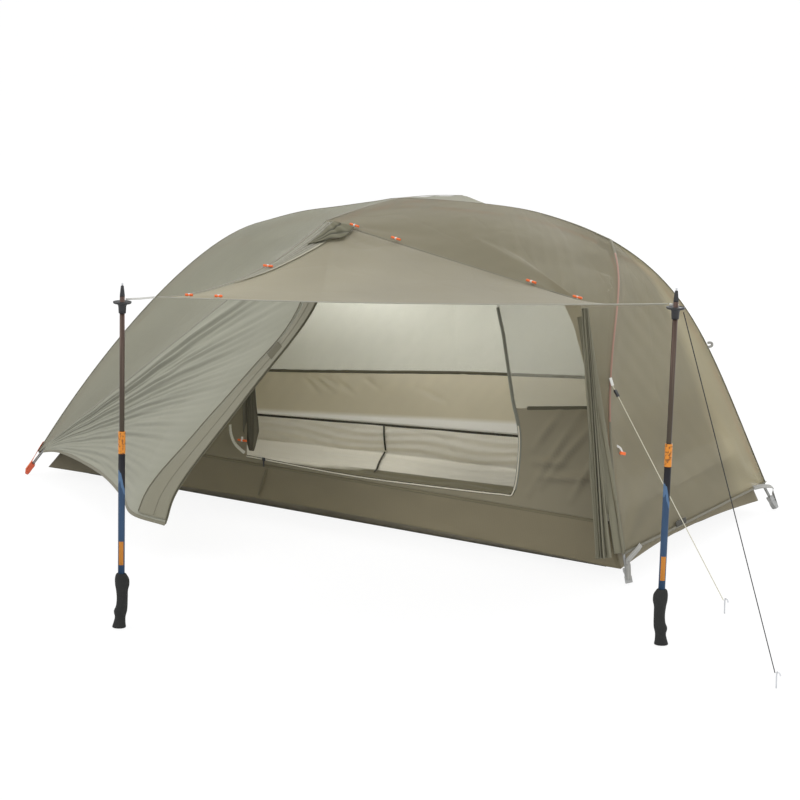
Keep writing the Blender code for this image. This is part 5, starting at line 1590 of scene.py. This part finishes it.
def edge_flap_place(across, down):
    reach = FLAP_START + (0.99 - FLAP_START) * down
    return over_panel(1 - edge_flap_wide(down) * (1 - across), reach, 0.0045)


edge_flap = patch("vestibule_flap", 16, 110, edge_flap_place, (0.065, 1.0), inside=(0, 0, 0.35))
sew(edge_flap, flap_olive, "vestibule_side")


def along_flap(part, start, end, count, rise):
    """A line that runs down the flap, this part of the way in from the free edge."""
    down = np.linspace(start, end, count)
    return over_panel(1 - edge_flap_wide(down) * part, down, rise)


flap_rows = (FLAP_START + 0.002, 0.985, 90, 0.005)
panel_tape("flap_seam", along_flap(1, *flap_rows), 0.006, edge_binding, 0.0016)
panel_tape("flap_fold", along_flap(0.45, *flap_rows), 0.0035, seam_olive, 0.0012)
panel_tape("tab", along_flap(0.5, *EDGE_TAB, 8, 0.0065), 0.046, edge_binding, 0.0014)


# Corners. Each pole's tip stands in a buckle, which webbing ties to the fly's corner.

BUCKLE_SIZE = (0.044, 0.021, 0.0145)
BUCKLE_END = 0.0028
BUCKLE_BARS = (0.017, 0.009)
STRAP_HEIGHTS = (0.118, 0.092)
STRAP_WIDTH = 0.014
STRAP_THICKNESS = 0.0016
STRAP_FLY_GAP = 0.003
STRAP_TURN = {"head": np.array([0.5, 0, 0]), "foot": np.array([-0.5, 0, 0])}


def webbing_finish(name, dark, light, across_pitch=0.0018, along_pitch=0.0026):
    """Woven webbing: ribs along it, crossed by a twill that steps over them."""
    made, tree, shader = material(name, Roughness=0.8)
    split = parts_of(tree, own_uv(tree))
    ribs = calculate(tree, "SINE", calculate(tree, "MULTIPLY", split["X"], math.tau / across_pitch))
    slanted = calculate(tree, "MULTIPLY_ADD", split["X"], 1.6, split["Y"])
    twill = calculate(tree, "SINE", calculate(tree, "MULTIPLY", slanted, math.tau / along_pitch))
    height = calculate(tree, "MULTIPLY_ADD", calculate(tree, "ADD", ribs, twill), 0.25, 0.5)
    feed(tree, shader.inputs["Base Color"], blended(tree, height, dark, light))
    bumped(tree, shader, height, 0.5, 0.0004)
    return made


grey_webbing = webbing_finish("grey_webbing", (0.22, 0.215, 0.195), (0.42, 0.415, 0.39))
pale_webbing = webbing_finish("pale_webbing", (0.46, 0.45, 0.41), (0.72, 0.71, 0.67))
orange_webbing = webbing_finish("orange_webbing", (0.52, 0.10, 0.03), (0.80, 0.20, 0.07))
grey_plastic = moulded_finish("grey_plastic", (0.33, 0.33, 0.32), 0.4)
red_plastic = moulded_finish("red_plastic", (0.55, 0.085, 0.03), 0.42)


def buckle_shape(co):
    """Waisted in the middle, and thinner towards the end that stands on the ground."""
    waist = 1 - 0.2 * math.exp(-((co.x + 0.08) / 0.12) ** 2)
    thin = 1 - 0.3 * max(0.0, min(1.0, (co.x - 0.2) / 0.3)) ** 2
    return Vector((co.x, co.y * waist, co.z * thin))


def curved_strap(side, path, outs):
    """At the head end the strap comes from the end panel's hem and curves down to the buckle."""
    corner = fly_corners["head", side]
    hem = corner * 0.9 + fly_corners["head", -side] * 0.1
    away = np.array([1.0, 0, 0])
    bowed = smooth_path([
        hem + away * 0.004 + (0, 0, 0.004), hem * 0.55 + corner * 0.45 + away * 0.016 + (0, 0, 0.002),
        corner + away * 0.02 + (0, side * 0.012, -0.014), path[2] + away * 0.006 + (0, 0, 0.008), path[3],
    ], 8)
    part = np.linspace(0, 1, len(bowed))[:, None]
    turned_outs = unit(np.array([0.8, 0, 0.6]) * (1 - part) + outs[-1] * part)
    return bowed, turned_outs


for end, side, word in LEGS:
    hard, woven = (grey_plastic, grey_webbing) if end == "head" else (red_plastic, orange_webbing)
    leg = leg_pole_route(end, side)
    direction = unit(leg[-1] - spaced(leg, 0.95))
    tip = leg[-1]
    out = square_to(direction, tip - LEG_INSIDE[end])
    sideways = np.cross(direction, out)
    turn = [Vector(axis) for axis in (direction, sideways, np.cross(direction, sideways))]
    middle = Vector(tip + direction * (BUCKLE_END - BUCKLE_SIZE[0] / 2))
    parts = [rounded_block("buckle_body", BUCKLE_SIZE, middle, turn, 0.0016, buckle_shape)]
    for back in BUCKLE_BARS:
        at = middle - turn[0] * back - turn[2] * 0.0074
        parts.append(rounded_block("bar", (0.0032, BUCKLE_SIZE[1], 0.0022), at, turn, 0.0009))
    dress(joined(f"buckle_{end}_{word}", parts), hard, "tent", f"corner_buckle_{end}_{word}")
    path, outs = [], []
    for height in STRAP_HEIGHTS:
        point = cut_at_height(leg_line(end, side), height)[-1]
        outs.append(square_to(direction, point - LEG_INSIDE[end] + STRAP_TURN[end]))
        path.append(point + outs[-1] * STRAP_FLY_GAP)
    for back in (BUCKLE_SIZE[0] - BUCKLE_END, 0.006):
        path.append(tip - direction * back + out * (BUCKLE_SIZE[2] / 2 + STRAP_THICKNESS))
        outs.append(out)
    if end == "head":
        path, outs = curved_strap(side, path, outs)
    name = f"strap_{end}_{word}"
    strap = band(name, path, outs, STRAP_WIDTH, STRAP_THICKNESS, 16, 0.0006, 40, square=5)
    dress(strap, woven, "tent", f"corner_{name}")


# Toggles. An orange barrel on a white elastic loop at each place where the rolled door is tied, and
# one more that holds the gathered inner door.

TOGGLE_LENGTH = 0.034
TOGGLE_RADIUS = 0.0035
TOGGLE_STEM = 0.012
TOGGLE_STAND_OFF = 0.0095
EAVE_TOGGLES = (0.12, 0.29, 0.82)
white_webbing = webbing_finish("white_webbing", (0.6, 0.59, 0.55), (0.88, 0.87, 0.83), 0.0012, 0.0018)


def hung_toggle(name, hinge, along, down, away, body, replaced=None, length=TOGGLE_LENGTH):
    """The barrel, narrowed in the middle, and the loop that goes round it there."""
    centre = hinge + down * TOGGLE_STEM
    half = along * length / 2
    wide = 2 * TOGGLE_RADIUS
    barrel = band(name, [centre - half, centre, centre + half], away, wide, wide, 24, 0.0016, 40)
    for vertex in barrel.data.vertices:
        offset = np.array(vertex.co) - centre
        lengthwise = offset @ along
        narrowed = 1 - 0.28 * math.exp(-((lengthwise / (length / 2) / 0.2) ** 2))
        vertex.co = centre + along * lengthwise + (offset - along * lengthwise) * narrowed
    angles = np.linspace(math.radians(-140), math.radians(140), 25)
    reach = TOGGLE_RADIUS * 0.72 + 0.0011
    ring = [centre + reach * (down * math.cos(a) + away * math.sin(a)) for a in angles]
    path = np.array([hinge - away * 0.0008, *ring, hinge + away * 0.0008])
    loop_outs = np.cross(along, unit(np.gradient(path, axis=0)))
    dress(barrel, orange_moulded, body, replaced)
    dress(band(f"{name}_loop", path, loop_outs, 0.006, 0.0012, steps=60), white_webbing, body)


eave_along = unit(EAVE_RIGHT - EAVE_LEFT)
eave_down = square_to(eave_along, AWNING_RIGHT - EAVE_RIGHT)
eave_away = np.cross(eave_along, eave_down)
eave_away = eave_away if eave_away[2] > 0 else -eave_away
for number, where in enumerate(EAVE_TOGGLES, 1):
    hinge = EAVE_LEFT * (1 - where) + EAVE_RIGHT * where + eave_away * TOGGLE_STAND_OFF
    names = (f"toggle_{number}", f"roll_toggle_{number}")
    hung_toggle(f"toggle_barrel_{number}", hinge, eave_along, eave_down, eave_away, *names)
# The same toggles at the awning's corners and along its rolled edge, where they stay on the cloth.
on_cloth = np.array([0, -0.5, -0.02])
x_axis, y_axis, z_axis = np.eye(3)
AWNING_TOGGLES = ((0.02, 0.42, 0.03), (0.058, 0.975, 0.021), (0.121, 0.985, 0.021), (0.975, 0.07, 0.03))
for number, (across, down, length) in enumerate(AWNING_TOGGLES, 1):
    spot, ahead = awning_flat(np.array([across, across + 0.02]), np.array([down, down]))
    way = unit(ahead - spot)
    hinge = spot + (0, 0, 0.009)
    hung_toggle(f"awning_toggle_{number}", hinge, way, on_cloth, z_axis, "awning", length=length)
TIE_PLACE = np.array([-0.262, -0.41356, 0.245])
hung_toggle("tie_barrel", TIE_PLACE, x_axis, -z_axis, y_axis, "toggle_tie", "tie_toggle")

# A short orange pull hangs on its loop beside the head-side zip, a white tab holds the cream line's
# end, and a small guy loop is sewn to the rear leg's seam. The label on the hem is left bare.
PULL_PLACE = np.array([1.072, -0.405, 0.349])
head_out = Vector((0.86, -0.5, 0.1)).normalized()
pull_axes = [Vector((0.45, 0.8, -0.25)).normalized()]
pull_axes.append(head_out.cross(pull_axes[0]).normalized())
pull_axes.append(pull_axes[0].cross(pull_axes[1]))
tag_place = PULL_PLACE + np.array(head_out) * 0.012
dress(rounded_block("zip_tag", (0.020, 0.009, 0.006), tag_place, pull_axes, 0.002), orange_moulded)
tag_loop = PULL_PLACE + ((-0.008, -0.012, 0.024), (0.004, -0.008, 0.016), (0.010, -0.006, 0.003))
tape("zip_tag_loop", smooth_path(tag_loop, 4), (0.86, -0.5, 0.1), 0.006, white_webbing, thick=0.0014)
line_start = np.array(HEAD_GUYLINE[0])
tab_ends = [line_start + (-0.006, 0.002, 0.018), line_start + (0.004, -0.002, -0.004)]
tape("line_tab", tab_ends, (0.8, -0.6, 0), 0.009, white_webbing)
rib = fly_ribs["head", 1]
guy_loop = rib[np.argmin(np.abs(rib[:, 2] - 0.53))] + (
    (0.001, 0, 0.008), (0.012, 0.007, 0.008), (0.013, 0.008, -0.002), (0.002, 0, -0.006),
)
tape("guy_loop", smooth_path(guy_loop, 5), (0.3, -0.9, 0.1), 0.008, grey_webbing, thick=0.0024)
head_hem = [fly_corners["head", side] for side in (-1, 1)]
label = spaced(head_hem, (0.33, 0.4)) + (0.005, 0, 0.012)
tape("hem_label", label, (1, 0, 0.2), 0.017, dark_tape, thick=0.0014)


# Pegs and tensioner. Bent alloy pegs hold both lines, and a small block slides on the cream one.

PEG_RADIUS = 0.002
PEG_HEIGHT = 0.042
PEG_HOOK = 0.012
TENSIONER_SIZE = (0.024, 0.009, 0.007)


def peg(name, line, replaced):
    end, before = np.array(line[-1]), np.array(line[-2])
    away = unit((end - before) * (1, 1, 0))
    foot = end * (1, 1, 0) + away * 0.006
    shape = ((0, -PEG_HEIGHT / PEG_HOOK), (0, -0.5), (0.3, 0), (0.9, 0), (1.2, -0.6))
    path = smooth_path([
        foot + away * PEG_HOOK * over + z_axis * (PEG_HEIGHT + PEG_HOOK * up) for over, up in shape
    ], 6)
    rod = band(name, path, np.cross(away, z_axis), 2 * PEG_RADIUS, 2 * PEG_RADIUS, 16, 0.0008, 50)
    return dress(rod, grey_alloy, "tent", replaced)


cream_peg = peg("cream_peg", HEAD_GUYLINE, "peg_head")
black_peg = peg("black_peg", POLE_GUYLINE, "peg_pole")
line_way = unit(np.subtract(HEAD_GUYLINE[-1], HEAD_GUYLINE[0]))
line_side = unit(np.cross(z_axis, line_way))
line_turn = (line_way, line_side, np.cross(line_way, line_side))
tensioner = rounded_block("tensioner", TENSIONER_SIZE, spaced(HEAD_GUYLINE, 0.045), line_turn, 0.0016)
dress(tensioner, black_moulded, "tensioner", "line_tensioner")


# Trekking poles. They stand upside down, their grips on the ground and their tips through the loops
# at the awning's corners.

POLE_FEET = {"left": (0.214, -1.624), "right": (1.493, -1.0)}
POLE_LENGTHS = {"left": 0.927, "right": 0.937}
POLE_LEAN = (0.021, 0.013)
GRIP_LENGTH = 0.15
UPPER_END = 0.474
UPPER_RADIUS = 0.009
COLLAR_LENGTH = 0.06
LOWER_START = 0.4
LOWER_RADIUS = 0.0068
VIEW_SIDE = np.array([0.8466, 0.5322, 0])
BASKET_BELOW_TIP = 0.05
GRIP_SHAPE = (
    (0, -0.0056, 0), (0.0006, -0.0056, 0.0145), (0.003, -0.0054, 0.0183), (0.013, -0.0045, 0.0162),
    (0.029, -0.0026, 0.0143), (0.040, -0.0025, 0.0165), (0.048, -0.0015, 0.0175), (0.061, 0.0016, 0.0154),
    (0.082, 0.0027, 0.0148), (0.103, 0.0021, 0.0159), (0.119, 0.0026, 0.019), (0.135, 0.0018, 0.0188),
    (0.145, 0.0, 0.0150), (0.149, 0.0, 0.0125), (0.15, 0, 0.0095), (0.15, 0, 0),
)
UPPER_ROWS = (
    (GRIP_LENGTH - 0.004, 0), (GRIP_LENGTH - 0.004, UPPER_RADIUS), (0.3, UPPER_RADIUS),
    (UPPER_END, UPPER_RADIUS), (UPPER_END, 0),
)
LOCK_START = UPPER_END + 0.0004
LOCK_END = LOCK_START + COLLAR_LENGTH
LOCK_RIBS = np.linspace(LOCK_START + 0.002, LOCK_END - 0.003, 25)
LOCK_ROWS = (
    (LOCK_START, 0.0072), (LOCK_START, 0.0088),
    *((z, 0.0098 - 0.00045 * (number % 2)) for number, z in enumerate(LOCK_RIBS)),
    (LOCK_END, 0.0086), (LOCK_END, 0.0072), (LOCK_START, 0.0072),
)
FERRULE_ROWS = (
    (-0.0365, 0), (-0.0365, LOWER_RADIUS * 0.99), (-0.032, LOWER_RADIUS * 0.96), (-0.02, 0.0052),
    (-0.0085, 0.0040), (-0.0075, 0),
)
CARBIDE_ROWS = (
    (-0.012, 0), (-0.012, 0.0027), (-0.003, 0.0025), (-0.0012, 0.0028), (0, 0.0012), (0, 0),
)
BASKET_ROWS = (
    (-0.03, 0.0072), (-0.03, 0.0094), (-0.012, 0.0104), (-0.0065, 0.0125), (-0.005, 0.021), (-0.004, 0.0232),
    (-0.002, 0.024), (0.0005, 0.0238), (-0.0015, 0.0215), (-0.001, 0.0125), (0, 0.0105), (0, 0.0072),
    (-0.03, 0.0072),
)


def raised(rows, height):
    return [(height + z, radius) for z, radius in rows]


def lower_rows(reach):
    tube = ((LOWER_START, LOWER_RADIUS), (0.6, LOWER_RADIUS), (reach - 0.036, LOWER_RADIUS))
    return (LOWER_START, 0), *tube, (reach - 0.036, 0)


def along_pole(word):
    axis = np.array([*POLE_LEAN, POLE_LENGTHS[word]])
    return np.array([*POLE_FEET[word], 0.0015]), unit(axis), float(np.linalg.norm(axis))


def turned(name, word, profile, sides=40, oval=1.0, hand=1):
    """A piece round a pole's axis, from rows of height and radius, or of height, shift to one side
    and radius, which are smoothed. Its UV map runs round from the side that faces the door's
    right, and up."""
    foot, axis, _ = along_pole(word)
    side = square_to(axis, VIEW_SIDE)
    depth = np.cross(axis, side)
    rows = np.array(profile, float)
    rows = smooth_path(rows, 6) if rows.shape[1] == 3 else np.insert(rows, 1, 0, axis=1)
    rows[:, 2] = np.maximum(rows[:, 2], 0)
    count = len(rows) - 1

    def place(across, down):
        row = rows[np.rint(down * count).astype(int)]
        angle = math.tau * across
        over = hand * row[:, 1] + row[:, 2] * np.cos(angle)
        deep = oval * row[:, 2] * np.sin(angle)
        return foot + axis * row[:, :1] + side * over[:, None] + depth * deep[:, None]

    return patch(name, sides, count, place, rolled=True)


def pole_heights(tree, word):
    """How far up the pole a point is, how far over to its side and its front, and its offset from
    the pole's foot."""
    foot, axis, _ = along_pole(word)
    from_foot = {0: own_place(tree), 1: tuple(foot)}
    offset = node(tree, "ShaderNodeVectorMath", from_foot, operation="SUBTRACT").outputs[0]
    measured = []
    for way in (axis, square_to(axis, VIEW_SIDE), (VIEW_SIDE[1], -VIEW_SIDE[0], 0)):
        along = {0: offset, 1: tuple(way)}
        measured.append(node(tree, "ShaderNodeVectorMath", along, operation="DOT_PRODUCT").outputs["Value"])
    return *measured, offset


def foam_finish():
    """Closed-cell foam: fine pores, matt and nearly black."""
    made, tree, shader = material("grip_foam", Roughness=0.92)
    pores = cells(tree, 620.0)
    tint = calculate(tree, "MULTIPLY", pores, noise(tree, own_place(tree), 40.0))
    foam = blended(tree, tint, (0.012, 0.0125, 0.012), (0.035, 0.036, 0.033))
    feed(tree, shader.inputs["Base Color"], foam)
    bumped(tree, shader, pores, 0.35, 0.0006)
    return made


SHAFT_PATCH = (0.174, 0.238, 0.0062)


def shaft_finish(word):
    """Painted tube: black near the lock, then blue with slanting streaks, and a bare orange patch."""
    made, tree, shader = material(f"painted_shaft_{word}", Roughness=0.5, Specular_IOR_Level=0.25)
    height, over, front, offset = pole_heights(tree, word)
    streak = noise(tree, stretched(tree, offset, (1.0, 1.0, 0.16)), 55.0)
    slant = calculate(tree, "MULTIPLY_ADD", over, 3.4, height)
    wander = calculate(tree, "MULTIPLY_ADD", streak, 0.13, slant)
    blue = blended(tree, streak, (0.013, 0.036, 0.08), (0.048, 0.095, 0.175))
    streaked = blended(tree, calculate(tree, "GREATER_THAN", wander, 0.445), blue, (0.08, 0.15, 0.26))
    black_part = calculate(tree, "GREATER_THAN", wander, 0.47)
    painted = blended(tree, black_part, streaked, (0.012, 0.012, 0.016))
    on_patch = calculate(tree, "GREATER_THAN", front, 0.0)
    for operation, value, limit in (
        ("GREATER_THAN", height, SHAFT_PATCH[0]), ("LESS_THAN", height, SHAFT_PATCH[1]),
        ("LESS_THAN", calculate(tree, "ABSOLUTE", over), SHAFT_PATCH[2]),
    ):
        on_patch = calculate(tree, "MULTIPLY", on_patch, calculate(tree, operation, value, limit))
    feed(tree, shader.inputs["Base Color"], blended(tree, on_patch, painted, (0.55, 0.21, 0.03)))
    return made


def lock_finish():
    """Ribbed orange plastic with darker mottling."""
    made, tree, shader = material("lock_orange", Roughness=0.4)
    blots = noise(tree, own_place(tree), 150.0, 1.0)
    steep = limited(tree, calculate(tree, "MULTIPLY_ADD", blots, 7.0, -3.6))
    mottled = blended(tree, steep, (0.68, 0.235, 0.012), (0.24, 0.075, 0.006))
    feed(tree, shader.inputs["Base Color"], mottled)
    bumped(tree, shader, blots, 0.4, 0.0005)
    return made


def lower_finish(word):
    """Dark brown anodising that turns redder towards the tip, with fine lines drawn along it."""
    made, tree, shader = material(f"brown_anodised_{word}", Roughness=0.36, Metallic=0.6)
    height, _, _, offset = pole_heights(tree, word)
    drawn = noise(tree, stretched(tree, offset, (1.0, 1.0, 0.02)), 700.0)
    part = limited(tree, calculate(tree, "MULTIPLY_ADD", height, 3.0, -1.7))
    tint = blended(tree, part, (0.085, 0.066, 0.045), (0.15, 0.085, 0.07))
    feed(tree, shader.inputs["Base Color"], blended(tree, drawn, (0.05, 0.04, 0.03), tint))
    return made


grip_foam = foam_finish()
lock_orange = lock_finish()
basket_black = moulded_finish("basket_black", (0.012, 0.012, 0.013), 0.5)
for word, hand in (("left", 1), ("right", -1)):
    foot, axis, reach = along_pole(word)
    moving = f"{word}_pole_top"
    basket_top = reach - BASKET_BELOW_TIP
    grip = turned(f"foam_grip_{word}", word, GRIP_SHAPE, 48, 0.86, hand)
    dress(grip, grip_foam, "tent", f"pole_grip_{word}")
    for name, rows, sides, finish, body, replaced in (
        ("painted_shaft", UPPER_ROWS, 32, shaft_finish(word), "tent", "upper_shaft"),
        ("twist_lock", LOCK_ROWS, 36, lock_orange, f"{word}_lock", "lock_collar"),
        ("brown_shaft", lower_rows(reach), 28, lower_finish(word), moving, "lower_shaft"),
        ("tip_ferrule", raised(FERRULE_ROWS, reach), 28, basket_black, moving, None),
        ("carbide_tip", raised(CARBIDE_ROWS, reach), 20, grey_alloy, moving, None),
        ("snow_basket", raised(BASKET_ROWS, basket_top), 48, basket_black, moving, "basket"),
    ):
        piece = turned(f"{name}_{word}", word, rows, sides)
        dress(piece, finish, body, replaced and f"{replaced}_{word}")

    centre = foot + axis * (basket_top + 0.006)
    corner = AWNING_LEFT if word == "left" else AWNING_RIGHT
    towards = unit(corner - centre)
    strap_path = [centre + towards * 0.0092, (centre + corner) / 2 - (0, 0, 0.001), corner - towards * 0.006]
    strap = band(f"awning_webbing_{word}", strap_path, axis, 0.0032, 0.0055, 12, 0.0008, 30, square=4)
    dress(strap, pale_webbing, moving, f"awning_cord_{word}")
